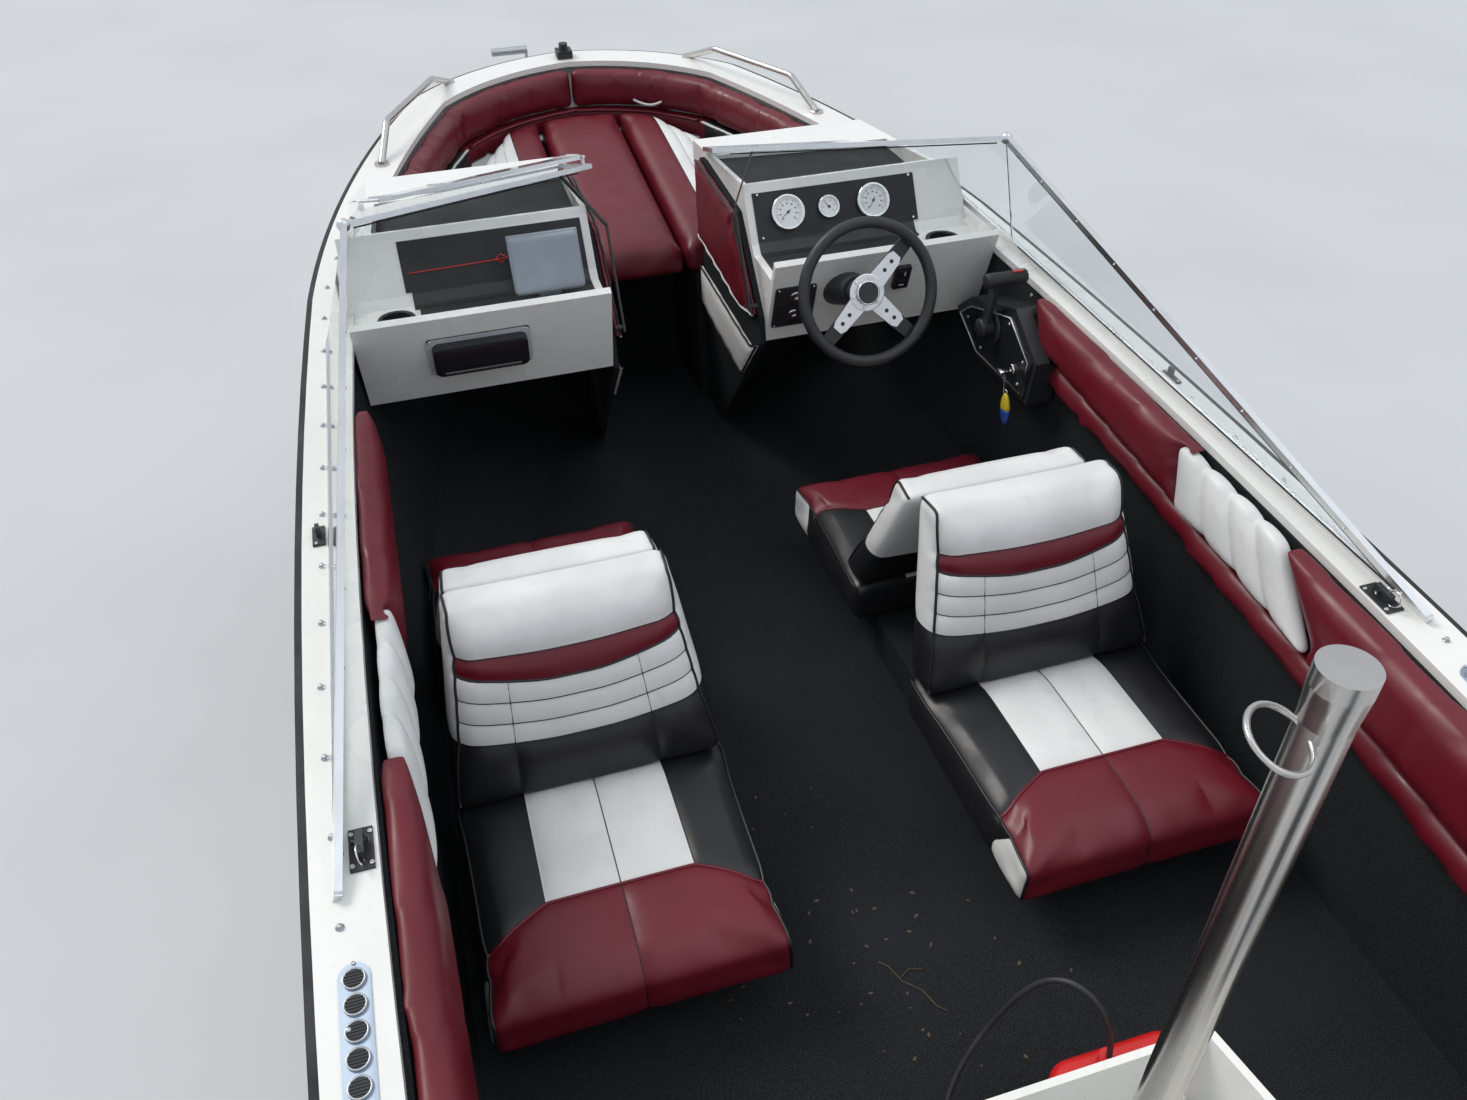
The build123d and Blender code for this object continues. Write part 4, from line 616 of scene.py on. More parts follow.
def cushion_zone(centre, axis, end):
    """White quad on the top's middle, burgundy round the free edge, white at the sides, black the rest."""
    x, v = np.abs(centre[:, 0]), centre[:, 1]
    top = (axis == 2) & (end == -1)
    index = np.full(len(centre), BLACK)
    index[top & (v < BAND)] = BURGUNDY
    index[top & (v > BAND) & (x < QUAD_HALF)] = WHITE
    index[(axis == 1) & (end == 0)] = BURGUNDY
    index[(axis == 0) & (v < CORNER_PANEL)] = WHITE
    return index


def make_cushion(side, end, outward, length):
    """One cushion: outward is the y of its free edge, length its run to the backs, minus forwards."""
    middle = SEAT_MIDDLES[side]
    way = 1.0 if length > 0 else -1.0
    length = abs(length)
    high = SEAT_HIGH - SEAT_LOW

    def place(p):
        """A box crowned along its top, its front line slanting back towards the sides."""
        x, v, w = p.T
        slant = -SLANT * np.clip((np.abs(x) - QUAD_HALF) / SLANT_RUN, 0, 1)
        slant = slant * np.where(v < BAND, v / BAND, (length - v) / (length - BAND)) * np.clip(w / high * 2 - 1, 0, 1)
        crown = CROWN * np.clip(1 - (x / SEAT_HALF) ** 4, 0, 1) * np.clip(v / 60, 0, 1) ** 0.5 - 14 * np.exp(-v / 55)
        z = SEAT_LOW + w + crown * (w / high) ** 2
        y = outward + way * (v + slant + 10 * (1 - w / high) * (v < 60))
        return at_all(middle + x * (1 - 0.012 * (1 - w / high)), y, z)

    lines = [spread((-SEAT_HALF, -262, 0, 262, SEAT_HALF), 20, (-235, -QUAD_HALF, 0, QUAD_HALF, 235)),
             spread((0, length), 20, (CORNER_PANEL, BAND)), spread((0, high), 20)]
    pad = Pad(f"{side}_{end}_cushion", "seat_cushions", lines, 26.0, place, cushion_zone,
              lambda box: (box[:, 2] < 1) | (box[:, 1] > length - 90), 0.013)
    middle_seam = [(0, length, high), (0, 0, high), (0, 0, 0)]
    band = [(-SEAT_HALF, BAND, high), (SEAT_HALF, BAND, high)]
    pad.seam(band, 0.007)
    pad.seam(middle_seam, 0.006)
    for x in (-QUAD_HALF, QUAD_HALF):
        pad.seam([(x, length, high), (x, BAND, high)], 0.007)
        pad.seam([(x * 0.45, length, high), (x * 0.45, BAND, high)], 0.0015, 0.005)
    for x in (-SEAT_HALF, SEAT_HALF):
        corner = [(x, CORNER_PANEL, high), (x, CORNER_PANEL, 0)]
        pad.seam(corner, 0.004)
        pad.welt([(x, length, high), (x, 0, high), (x, 0, 0)])
        # Painted seam shade: a thin black cord along the corner seam stands in for the shade in its crease.
        pad.painted_seam_shade(corner)
    # Painted seam shade: a thin black cord along the middle seam, standing proud, stands in for the shade in its
    # crease.
    pad.painted_seam_shade(middle_seam, 1.5)
    pad.welt(band, 0.0036, BURGUNDY, 0.5)


for side in SEAT_MIDDLES:
    make_cushion(side, "aft", 1048.0, 560.0)
    make_cushion(side, "forward", 2392.0, -485.0)

# Seat backs.
# The backs lean against each other. Three white sewn channels, a burgundy band and a white ridge over a black
# foot, with welts down both edges.
BACK_SHARES = [0.0, 0.315, 0.41, 0.51, 0.605, 0.74, 1.0]
BACK_SHIFTS = [0.0, 0.04, 0.05, 0.055, 0.075, 0.023, 0.0]
BACK_HEIGHT, BACK_DEPTH, BACK_SIDE, BACK_HALF = 400.0, 104.0, 145.0, 278
BACK_NARROWING = 226.0 / 280.0 - 1


def back_zone(centre, axis, end):
    """Black foot, white channels, burgundy band and white ridge; the sides are white above the foot."""
    share = centre[:, 1] / BACK_HEIGHT
    index = np.full(len(centre), WHITE)
    index[share < BACK_SHARES[1]] = BLACK
    front = (axis == 2) & (end == 0)
    index[front & (share > BACK_SHARES[4]) & (share < BACK_SHARES[5])] = BURGUNDY
    return index


def make_back(side, end, foot, top, behind_foot, behind_top):
    """One back between its front line and the line behind, narrowing upwards."""
    middle = SEAT_MIDDLES[side]

    def place(p):
        """The straight blend of four lines, with rows that bend up at the sides and a belly in front."""
        x, v, t = p.T
        share = v / BACK_HEIGHT
        lean = np.clip((np.abs(x) - 60) / 215, 0, 1) ** 1.2
        share = share + lean * np.interp(share, BACK_SHARES, BACK_SHIFTS)
        t = t / BACK_DEPTH
        belly = 12 * np.sin(pi * np.clip(share, 0, 1)) * (1 - (x / SEAT_HALF) ** 2) * (1 - t)
        y, z = ((1 - t) * (foot[i] + (top[i] - foot[i]) * share) +
                t * (behind_foot[i] + (behind_top[i] - behind_foot[i]) * share) for i in (0, 1))
        return at_all(middle + x * (1 + BACK_NARROWING * share), y - belly * np.sign(behind_foot[0] - foot[0]), z)

    rows = [s * BACK_HEIGHT for s in BACK_SHARES[1:-1]]
    lines = [spread((-BACK_HALF, 0, BACK_HALF), 20, (-BACK_SIDE, BACK_SIDE)), spread((0, BACK_HEIGHT), 20, rows),
             spread((0, BACK_DEPTH), 20)]
    pad = Pad(f"{side}_{end}_back", "seat_backs", lines, 30.0, place, back_zone,
              lambda box: (box[:, 1] < 1) | (box[:, 2] > BACK_DEPTH - 1), 0.012, "white_vinyl")
    for row in rows:
        across = [(-BACK_HALF, row, 0), (BACK_HALF, row, 0)]
        pad.seam(across, 0.008, 0.009)
        # Painted seam shade: a thin black cord along each row seam stands in for the shade in its crease.
        pad.painted_seam_shade(across, 1.8)
    for x in (-BACK_SIDE, BACK_SIDE):
        upright = [(x, 0, 0), (x, rows[3], 0)]
        pad.seam(upright, 0.006)
        # Painted seam shade: a thin black cord along each upright seam stands in for the shade in its crease.
        pad.painted_seam_shade(upright)
    for x in (-BACK_HALF, BACK_HALF):
        pad.welt([(x, 0, 0), (x, BACK_HEIGHT, 0), (x, BACK_HEIGHT, BACK_DEPTH)])
        pad.seam([(x, rows[0], 0), (x, rows[0], BACK_DEPTH)], 0.004)
    pad.welt([(-BACK_HALF, rows[3], 0), (BACK_HALF, rows[3], 0)])
    pad.seam([(-BACK_HALF, BACK_HEIGHT, BACK_DEPTH * 0.6), (BACK_HALF, BACK_HEIGHT, BACK_DEPTH * 0.6)], 0.003, 0.006)


for side in SEAT_MIDDLES:
    make_back(side, "aft", (1504, 979), (1664, 1378), (1606, 979), (1748, 1366))
    make_back(side, "forward", (2006, 979), (1868, 1330), (1906, 979), (1781, 1318))

# Side bolsters.
# Long foam pads covered in burgundy vinyl along both sides of the cockpit, with a narrower roll below and a
# white panel of four sewn channels let into each.


def loose_parts(name):
    """The separate solids of a node's mesh, each as its own mesh, corners joined."""
    whole = bmesh.new()
    whole.from_mesh(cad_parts[name].data)
    whole.transform(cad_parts[name].matrix_world)
    bmesh.ops.remove_doubles(whole, verts=whole.verts, dist=1e-5)
    whole.verts.index_update()
    group = np.arange(len(whole.verts))
    ends = np.array([[v.index for v in edge.verts] for edge in whole.edges])
    while True:
        low = np.minimum(group[ends[:, 0]], group[ends[:, 1]])
        before = group.copy()
        np.minimum.at(group, ends[:, 0], low)
        np.minimum.at(group, ends[:, 1], low)
        if (group == before).all():
            break
    points = np.array([v.co for v in whole.verts])
    faces = [[v.index for v in face.verts] for face in whole.faces]
    whole.free()
    for label in np.unique(group):
        chosen = np.flatnonzero(group == label)
        place = {old: new for new, old in enumerate(chosen)}
        yield points[chosen], [[place[v] for v in face] for face in faces if group[face[0]] == label]


class Stuffed(Pad):
    """A stuffed piece made from a CAD solid: its voxel skin, each point moved 0.55 of the way to its neighbours' mean
    a few times, which rounds the edges, then blown up like the seats."""

    def __init__(self, name, node, points, faces, voxel, relax, rest, skin, slot, cap, fill=0.6):
        self.name, self.node, self.cap, self.slot, self.fill = name, node, cap, slot, fill
        self.object = piece(name, points, faces, [skin], None)
        remesh = self.object.modifiers.new("voxels", "REMESH")
        remesh.mode = "VOXEL"
        remesh.voxel_size = voxel
        fine = bpy.data.meshes.new_from_object(self.object.evaluated_get(bpy.context.evaluated_depsgraph_get()))
        self.object.modifiers.clear()
        self.object.data = fine
        fine.materials.clear()
        fine.materials.append(skin)
        fine.polygons.foreach_set("use_smooth", np.full(len(fine.polygons), True))
        points = self.coordinates()
        self.faces = np.array([list(p.vertices) for p in fine.polygons])
        ends = np.array([list(e.vertices) for e in fine.edges])
        share = np.zeros(len(points))
        np.add.at(share, ends.ravel(), 1)
        for _ in range(relax):
            total = np.zeros_like(points)
            np.add.at(total, ends[:, 0], points[ends[:, 1]])
            np.add.at(total, ends[:, 1], points[ends[:, 0]])
            points = 0.45 * points + 0.55 * total / share[:, None]
        self.start = points
        self.set_coordinates(points)
        self.enlist(self.object, rest(points, normals_of(points, self.faces)))

    def walk(self, path):
        """Close points along a path in millimetres from the transom."""
        return dense(path)

    def trace(self, path, points, normals):
        """The nearest places on the skin to a path's points, and the normals there."""
        tree = BVHTree.FromPolygons(points.tolist(), self.faces.tolist())
        found = [tree.find_nearest(Vector(p)) for p in path]
        return np.array([f[0] for f in found]), np.array([f[1] for f in found])


def dense(path, step=0.012):
    """A path of straight runs in millimetres from the transom, as closely spaced points in metres."""
    corners = at_all(*np.asarray(path, float).T)
    out = [corners[:1]]
    for a, b in zip(corners, corners[1:]):
        count = max(1, int(np.linalg.norm(b - a) / step))
        out.append(a + (b - a) * np.arange(1, count + 1)[:, None] / count)
    return np.concatenate(out)


FLOOR_HEIGHT = 760


def lining_half(y, z):
    """Half the width between the linings, in millimetres: straight runs between three places, wider upwards."""
    return np.interp(y, (-200, 1450, 3300), (790, 838, 790)) + 64 * (np.asarray(z) - FLOOR_HEIGHT) / 940


def deck_height(y):
    """The deck's top, in millimetres: a plane that rises 66 in every 1000."""
    return 1300 + 0.066 * np.asarray(y)


def outer_side(points, normals):
    """The points of a side pad that lie on the lining."""
    return normals[:, 0] * np.sign(points[:, 0]) > 0.55


for number, (points, faces) in enumerate(loose_parts("side_bolsters")):
    low, high = points.min(axis=0), points.max(axis=0)
    roll = high[2] < 1.32 and high[1] - low[1] > 1.5 and high[2] - low[2] < 0.30 and points[:, 2].mean() < 1.22
    pad = Stuffed(f"side_bolster_{number}", "side_bolsters", points, faces, 0.013, 4, outer_side, burgundy,
                  "burgundy", 0.007 if roll else 0.011)
    for y in np.arange(low[1] + 0.42, high[1] - 0.2, 0.43):
        pad.creases.append((np.array([0, y, 0]), np.array([0, 1.0, 0]), 0.0018, 0.010))


def make_insert(side, name):
    """The white panel: four channels between burgundy ends, their tops rounded."""
    length, height, depth = 350.0, 170.0, 34.0

    def place(p):
        """The straight blend of a low and a high line, on the lining; the high line dips at each channel's end."""
        a, b, t = p[:, 0] / length, p[:, 1] / height, p[:, 2]
        low_y, low_z = 1188 + (1648 - 1188) * a, 1214 + (1258 - 1214) * a
        high_y, high_z = 1344 + (1688 - 1344) * a, 1382 + (1402 - 1382) * a
        scallop = 9 * (1 - np.abs(np.sin(pi * 4 * a)) ** 0.6)
        y = low_y + (high_y - low_y) * b
        z = low_z + (high_z - scallop - low_z) * b
        return at_all(side * (lining_half(y, z) - 46 + t), y, z)

    quarters = (length / 4, length / 2, length * 3 / 4)
    lines = [spread((0, length), 15, quarters), spread((0, height), 15), spread((0, depth), 17)]
    pad = Pad(name, "bolster_inserts", lines, 13.0, place, lambda c, a, e: np.full(len(c), WHITE),
              lambda box: box[:, 2] > depth - 1, 0.010, "white_vinyl")
    for quarter in quarters:
        pad.seam([(quarter, 0, 0), (quarter, height, 0)], 0.009, 0.010)


make_insert(-1, "port_white_panel")
make_insert(1, "starboard_white_panel")

# Bow seat: cushions, bolsters and side panels.
# A loose middle cushion and two side cushions with white ribbed outer strips, under padded rolls that meet at
# the stem over black vinyl panels, burgundy at the stem, with open pockets and piped rims.
BOW_AFT, BOW_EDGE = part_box("bow_cushions")[0][1] * 1000 + AFT * 1000, 428.0
BOW_CURVE = (149, 270, BOW_EDGE), (4222, 4160, 3893)
RIB_LINES = (264, 305, 346, 387)


def bow_height(y):
    """The bow seat's base, in millimetres: a plane that rises 143 in every 1000 to the stem."""
    return 1250 + 0.143 * (np.asarray(y) - 3570)


def make_bow_cushion(name, low, high, ribs):
    """A cushion between two distances from the middle, cut to the bow's curve at its front."""
    side = -1 if high < 0 else 1
    width, depth = abs(high - low), 89.0
    inner = min(abs(low), abs(high)) if ribs else low

    def place(p):
        """A box stretched from the seat's aft edge to the curve, with a low round crown."""
        x = inner + p[:, 0]
        front = np.interp(np.abs(x), *BOW_CURVE)
        y = BOW_AFT + 4 + (front + 8 - BOW_AFT - 4) * p[:, 1] / 1000
        crown = 10 * np.clip(np.sin(pi * np.clip(p[:, 0] / width, 0, 1)), 0, 1) ** 0.5 - 7
        return at_all((side if ribs else 1) * x, y, bow_height(y) + 1 + p[:, 2] + crown * (p[:, 2] / depth) ** 2)

    marks = [line - inner for line in RIB_LINES] if ribs else []
    lines = [spread((0, width), 24, marks), spread((0, 1000), 30), spread((0, depth), 22)]
    pad = Pad(name, "bow_cushions", lines, 15.0, place,
              lambda c, a, e: np.where(c[:, 0] > marks[0], WHITE, BURGUNDY) if ribs else np.full(len(c), BURGUNDY),
              lambda box: box[:, 2] < 1, 0.010)
    for mark in marks:
        pad.seam([(mark, 0, 0), (mark, 0, depth), (mark, 1000, depth)], 0.007)
    pad.seam([(0, 0, depth), (width, 0, depth)], 0.002)
    if ribs:
        pad.welt([(marks[0], 0, depth), (marks[0], 1000, depth)], 0.003, BLACK, 0.0)
    for mark in marks[1:]:
        # Painted seam shade: thin black cords along the inner rib seams stand in for the shade in their creases.
        pad.painted_seam_shade([(mark, 0, depth), (mark, 1000, depth)], 1.3)


make_bow_cushion("bow_infill_cushion", -144.0, 144.0, False)
make_bow_cushion("bow_port_cushion", -BOW_EDGE, -149.0, True)
make_bow_cushion("bow_starboard_cushion", 149.0, BOW_EDGE, True)
BOW_CENTRE, BURGUNDY_FROM = 3.35, 4.04


def bow_outer(points, normals):
    """The points of a bow pad that lie on the deck's edge or the hull's inside."""
    return (normals[:, :2] * unit(points[:, :2] - np.array([0.0, BOW_CENTRE - AFT]))).sum(axis=1) > 0.5


for number, (points, faces) in enumerate(loose_parts("bow_bolsters")):
    pad = Stuffed(f"bow_bolster_{number}", "bow_bolsters", points, faces, 0.012, 5, bow_outer, burgundy, "burgundy",
                  0.012)
    side = np.sign(points[:, 0].mean())
    for turn in np.radians((15, 35, 52, 66)):
        pad.creases.append((at(0, BOW_CENTRE, 0), np.array([side * cos(turn), -sin(turn), 0]), 0.005, 0.007))
for number, (points, faces) in enumerate(loose_parts("bow_side_panels")):
    pad = Stuffed(f"bow_panel_{number}", "bow_side_panels", points, faces, 0.012, 1, bow_outer, dark, "black_trim",
                  0.002, 0.3)
    pad.object.data.materials.append(burgundy)
    middles = pad.start[pad.faces].mean(axis=1)
    pad.object.data.polygons.foreach_set("material_index", (middles[:, 1] > BURGUNDY_FROM - AFT).astype(int))
    flat = (pad.start[:, :2] - np.array([0, BOW_CENTRE - AFT])) * 1000
    for low, high, radius, colour in ((-84, -31, 0.0045, WHITE), (-30, 30, 0.006, BURGUNDY), (31, 84, 0.0045, WHITE)):
        rim = []
        for turn in np.radians(np.linspace(low, high, 13)):
            out = flat @ np.array([sin(turn), cos(turn)])
            near = (np.abs(flat @ np.array([cos(turn), -sin(turn)])) < 12) & (out > 0)
            if near.any():
                top = pad.start[near, 2].max() * 1000
                reach = out[near & (pad.start[:, 2] * 1000 > top - 25)].min()
                rim.append((reach * sin(turn), BOW_CENTRE * 1000 + reach * cos(turn), top - 6))
        if len(rim) > 2:
            pad.welt(rim, radius, colour, 0.6)

# Console pads and skirts.
# Thin padded vinyl on the walkway faces of the consoles: a burgundy panel over a white skirt, bound in black,
# the panel's lower edge in white.


def inner_side(points, normals):
    """The points that lie on the console's side."""
    return normals[:, 0] * np.sign(points[:, 0]) > 0.5


WALKWAY = 181
BINDINGS = {"console_pads": (([(2676, 1333), (2876, 1558), (3208, 1578), (3246, 1575)], BLACK),
                             ([(3246, 1338), (2810, 1302), (2676, 1333)], WHITE)),
            "console_skirts": (([(3246, 1240), (2729, 1221), (2652, 1257), (2814, 1078), (3246, 1110)], BLACK),)}
for node, skin, slot in (("console_pads", burgundy, "burgundy"), ("console_skirts", white, "white_vinyl")):
    for number, (points, faces) in enumerate(loose_parts(node)):
        pad = Stuffed(f"{node[:-1]}_{number}", node, points, faces, 0.007, 3, inner_side, skin, slot, 0.006, 0.4)
        for outline, colour in BINDINGS[node]:
            pad.welt([(np.sign(points[:, 0].mean()) * WALKWAY, y, z) for y, z in outline], 0.0035, colour, 0.5)

# Blowing up and sewing of every stuffed piece.
# All are simulated together, as vinyl over foam, then each gets its seams, welts, painted seam shade lines and one
# subdivision.
swell(pads)
for pad in pads:
    finish_pad(pad)

# Steering wheel, instruments and switches.
# A leather rim on three polished aluminium spokes; white dials with black marks and needles in chrome rings;
# chrome knobs, rings and screws on black panels.
X_AXIS, UPWARDS, TO_HELM = (1, 0, 0), (0, 0, 1), (-1, 0, 0)


def turned(profile, origin, axis, sides):
    """Pairs of (radius, height) turned about an axis: origin + height * axis + radius * (cosine, sine)."""
    axis = np.asarray(axis, float) / np.linalg.norm(axis)
    across = np.cross(axis, X_AXIS if abs(axis[0]) < 0.9 else UPWARDS)
    across /= np.linalg.norm(across)
    over = np.cross(axis, across)
    angle = 2 * pi * np.arange(sides) / sides
    ring = np.cos(angle)[:, None] * across + np.sin(angle)[:, None] * over
    profile = np.asarray(profile, float)
    points = np.asarray(origin, float) + profile[:, 1, None, None] * axis + profile[:, 0, None, None] * ring
    i, j = np.meshgrid(np.arange(len(profile) - 1), np.arange(sides), indexing="ij")
    low, high, k = i * sides, (i + 1) * sides, (j + 1) % sides
    faces = np.stack([low + j, low + k, high + k, high + j], -1).reshape(-1, 4).tolist()
    last = (len(profile) - 1) * sides
    faces += [list(range(sides))[::-1], list(range(last, last + sides))]
    return points.reshape(-1, 3), faces


def plate(outline, thick, origin, across, normal, base=0.0):
    """A flat outline given thickness along the normal: origin + u * across + v * up + height * normal."""
    across, normal = np.asarray(across, float), np.asarray(normal, float)
    up = np.cross(normal, across)
    flat = np.array([np.asarray(origin, float) + u * across + v * up for u, v in outline])
    count = len(flat)
    points = np.concatenate([flat + normal * base, flat + normal * (base + thick)])
    faces = [list(range(count))[::-1], list(range(count, 2 * count))]
    faces += [[i, (i + 1) % count, count + (i + 1) % count, count + i] for i in range(count)]
    return points, faces


def rounded(width, height, radius, turns=5):
    """The outline of a rectangle with round corners: a quarter circle at each corner of a smaller rectangle."""
    out = []
    for step, (x, y) in enumerate(((1, 1), (-1, 1), (-1, -1), (1, -1))):
        angle = pi / 2 * (step + np.arange(turns) / (turns - 1))
        out += list(zip(x * (width / 2 - radius) + radius * np.cos(angle),
                        y * (height / 2 - radius) + radius * np.sin(angle)))
    return out


def bar(left, right, half, middle=0.0):
    """The outline of a rectangle from left to right, a half height each side of a middle."""
    return [(left, middle - half), (right, middle - half), (right, middle + half), (left, middle + half)]


def put(name, parts, material, slot, body="boat", smooth=False):
    """Parts given in millimetres from the transom, as one mesh riding on a body."""
    points, faces = merged(parts)
    return piece(name, at_all(*points.T), faces, [material], slot, None, smooth, body)


def screw(place, axis, radius):
    """A low domed screw head with its socket: one profile turned about the axis."""
    return turned([(radius, -1), (radius, 0.8), (radius * 0.8, 2.0), (radius * 0.45, 2.4), (radius * 0.4, 1.2),
                   (0.05, 1.2)], place, axis, 12)


WHEEL_PLACE, SPOKE_TURN = np.array([420.0, 2462.0, 1465.0]), 43.0
WHEEL_AXIS = np.array([0, -0.933, 0.36]) / np.hypot(0.933, 0.36)
WHEEL_UP = np.cross(WHEEL_AXIS, X_AXIS)


def ray(degrees, up):
    """The direction at an angle from the X axis towards up."""
    return np.array(X_AXIS) * cos(radians(degrees)) + up * sin(radians(degrees))


def on_wheel(profile, rise, sides, offset=0.0):
    """A profile turned about the wheel's axis, or beside it by an offset, at a rise over its middle."""
    return turned(profile, WHEEL_PLACE + offset + WHEEL_AXIS * rise, WHEEL_AXIS, sides)


spokes, holes = [on_wheel([(47, 0), (47, 2.4), (45, 3.2), (0.05, 3.2)], 7, 36)], []
for angle in (0, 180, 270):
    across = ray(angle + SPOKE_TURN, WHEEL_UP)
    spokes.append(plate([(20, -25), (108, -20), (122, -13), (122, 13), (108, 20), (20, 25)], 2.2, WHEEL_PLACE,
                        across, WHEEL_AXIS, 7.0))
    holes += [on_wheel([(5.5, 0), (5.5, 0.6), (0.05, 0.6)], 8.9, 14, across * reach) for reach in (72, 100)]
bolts = [on_wheel([(4.6, 0), (4.6, 3.2), (3.9, 4), (2.4, 4), (2.2, 2), (0.05, 2)], 10.4, 12,
                  ray(60 * step + 13, WHEEL_UP) * 37) for step in range(6)]
bolts.append(on_wheel([(30.5, 0), (30.5, 8.6), (28.3, 9.6), (27.2, 9.6), (27.2, 0)], 10, 36))
wheel_alloy = metal("wheel_alloy", (0.74, 0.74, 0.745), 0.3, ALL_WAYS)
put("wheel_spokes", spokes, wheel_alloy, "aluminium", "steering_wheel")
put("wheel_holes", holes, black, "black_trim", "steering_wheel")
put("wheel_bolts", bolts, chrome, "stainless", "steering_wheel", True)


class Panel:
    """A flat face that leans about the X axis, between a low and a high line given as (y, z): a place is
    low + share * (high - low) + proud * normal."""

    def __init__(self, low, high):
        self.low, self.rise = np.array([0, *low]), np.array([0, *high]) - np.array([0, *low])
        self.normal = np.cross(X_AXIS, self.rise) / np.linalg.norm(np.cross(X_AXIS, self.rise))
        self.up = np.cross(self.normal, X_AXIS)

    def at(self, x, share, proud=0.0):
        """A place at a share of the way up."""
        return np.array([x, 0, 0]) + self.low + self.rise * share + self.normal * proud

    def level(self, x, z, proud=0.0):
        """A place at a height."""
        return self.at(x, (z - self.low[2]) / self.rise[2], proud)


slope, fascia = Panel((2782.0, 1490.0), (2850.0, 1612.0)), Panel((2662.0, 1262.0), (2578.0, 1512.0))
MARK_RISE, MARK_THICK = 8.65, 0.15
dials, marks, needles, rings = [], [], [], []
for x, radius, pointing in ((328, 46, 215), (446, 29.5, 130), (577, 46, 235)):
    centre = slope.at(x, 0.52, 3.1)
    dials.append(turned([(radius * 0.845, 7.6), (radius * 0.845, 8.5), (0.05, 8.6)], centre, slope.normal, 48))
    rings.append(turned([(radius + 2, 0), (radius + 2, 10), (radius, 13.2), (radius * 0.93, 13.6),
                         (radius * 0.86, 11.2), (radius * 0.85, 8.4)], centre, slope.normal, 48))
    count = 41 if radius > 40 else 25
    for step in range(count):
        way = ray(-45 + 270 * step / (count - 1), slope.up)
        start, half = (0.70, 0.25) if step % 5 else (0.62, 0.55)
        marks.append(plate(bar(radius * start, radius * 0.77, half), MARK_THICK, centre, way, slope.normal, MARK_RISE))
        if step % 5 == 0:
            marks.append(plate(rounded(radius * 0.10, radius * 0.075, 0.6, 2), MARK_THICK,
                               centre + way * radius * 0.50, X_AXIS, slope.normal, MARK_RISE))
    needles += [plate([(-radius * 0.2, -1.2), (radius * 0.6, -0.35), (radius * 0.6, 0.35), (-radius * 0.2, 1.2)], 0.5,
                      centre, ray(pointing, slope.up), slope.normal, 9.4),
                turned([(3.8, 8.6), (3.8, 10.6), (3, 11.2), (0.05, 11.2)], centre, slope.normal, 16)]
dress(chrome, "gauges")
dial_white = paint("dial_white", (0.80, 0.81, 0.80), 0.35, 0.6)
put("dial_faces", dials, dial_white, "dial")
put("dial_marks", marks, black, "black_trim")
put("dial_needles", needles, paint("needle", (0.03, 0.03, 0.035), 0.4), "black_trim")
put("dial_rings", rings, chrome, "stainless", smooth=True)


def on_fascia(outline, thick, x, z, proud, across=X_AXIS):
    """A flat piece on the leaning face below the dash."""
    return plate(outline, thick, fascia.level(x, z, proud), across, fascia.normal)


KNOB_X = 282
small = [screw(slope.at(x, share, 3.0), slope.normal, 3.6) for x in (250, 692) for share in (0.1, 0.92)]
for columns, rows, proud, radius in (((233, 330), (1315, 1437), 5.0, 3.0), ((-674, -435), (1343, 1447), 6.4, 3.4)):
    small += [screw(fascia.level(x, z, proud), fascia.normal, radius) for x in columns for z in rows]
for z in (1411, 1351):
    small += [turned([(16, 0), (16, 2), (13.5, 3.6), (11.4, 3.6), (11.4, 0)], fascia.level(KNOB_X, z, 5),
                     fascia.normal, 28),
              turned([(9.2, 16.6), (9.2, 17.8), (8, 18.6), (0.05, 18.6)], fascia.level(KNOB_X, z), fascia.normal, 24)]
put("dash_screws", small, chrome, "stainless", smooth=True)
fillet = [(2740, 1467.2), (2762, 1468), (2782, 1490), (2790, 1504.4), (2789, 1505.2), (2780.8, 1491.5),
          (2760.5, 1471.6), (2740, 1471.3)]
put("dash_fillets", [plate(fillet, 456, (x, 0, 0), (0, 1, 0), X_AXIS) for x in (236, -692)], black, "black_trim")
put("panel_ribs", [on_fascia(rounded(104, 5, 2, 3), 2.2, KNOB_X, z, 5) for z in (1381, 1326)] +
    [on_fascia(rounded(26, 20, 3, 3), 4, 582, z, 12) for z in (1404, 1440)],
    paint("panel_gloss", (0.02, 0.02, 0.022), 0.25, 0.4), "black_trim")
put("rocker_mark", [on_fascia(bar(-2, 2, 7), 0.3, 586, 1440, 16, (0.9, 0, 0)),
                    on_fascia(bar(-7, 7, 1.6), 0.3, 582, 1404, 16)], dial_white, "dial")

# Port console: radio cover on its grey plate, the covered display and its red wire.
# A smoked flap with a lip in a pale gasketed plate; a soft grey plastic cover; a thin wire held to the panel.
put("radio_plate", [on_fascia(rounded(258, 123, 16), 1.2, -554.5, 1395, 5.6)],
    plastic("pale_plate", (0.46, 0.48, 0.50), 0.4, 0.1), "grey_cover")
smoked = paint("smoked", (0.018, 0.02, 0.024), 0.12, 0.8)
put("radio_flap", [on_fascia(rounded(w, h, r), 1.5, -554, 1395, base)
                   for w, h, r, base in ((233, 94, 17, 28), (229, 90, 16, 29.5), (219, 80, 14, 31))] +
    [tube_mesh([fascia.level(x, 1362, 31.5) for x in np.linspace(-650, -458, 9)], 4.5, 8)], smoked, "black_trim")


def soft_box(size, radius, centre, tilt=0, step=8):
    """A box with round edges: its lattice rounded off, then tipped about the X axis by an angle in degrees."""
    half = np.asarray(size, float) / 2
    _, points, faces, _ = lattice_skin([spread((-h, h), step) for h in half])
    turn = radians(tilt)
    spin = np.array([X_AXIS, [0, cos(turn), -sin(turn)], [0, sin(turn), cos(turn)]])
    return round_off(points, -half, half, radius) @ spin.T + np.asarray(centre, float), faces.tolist()


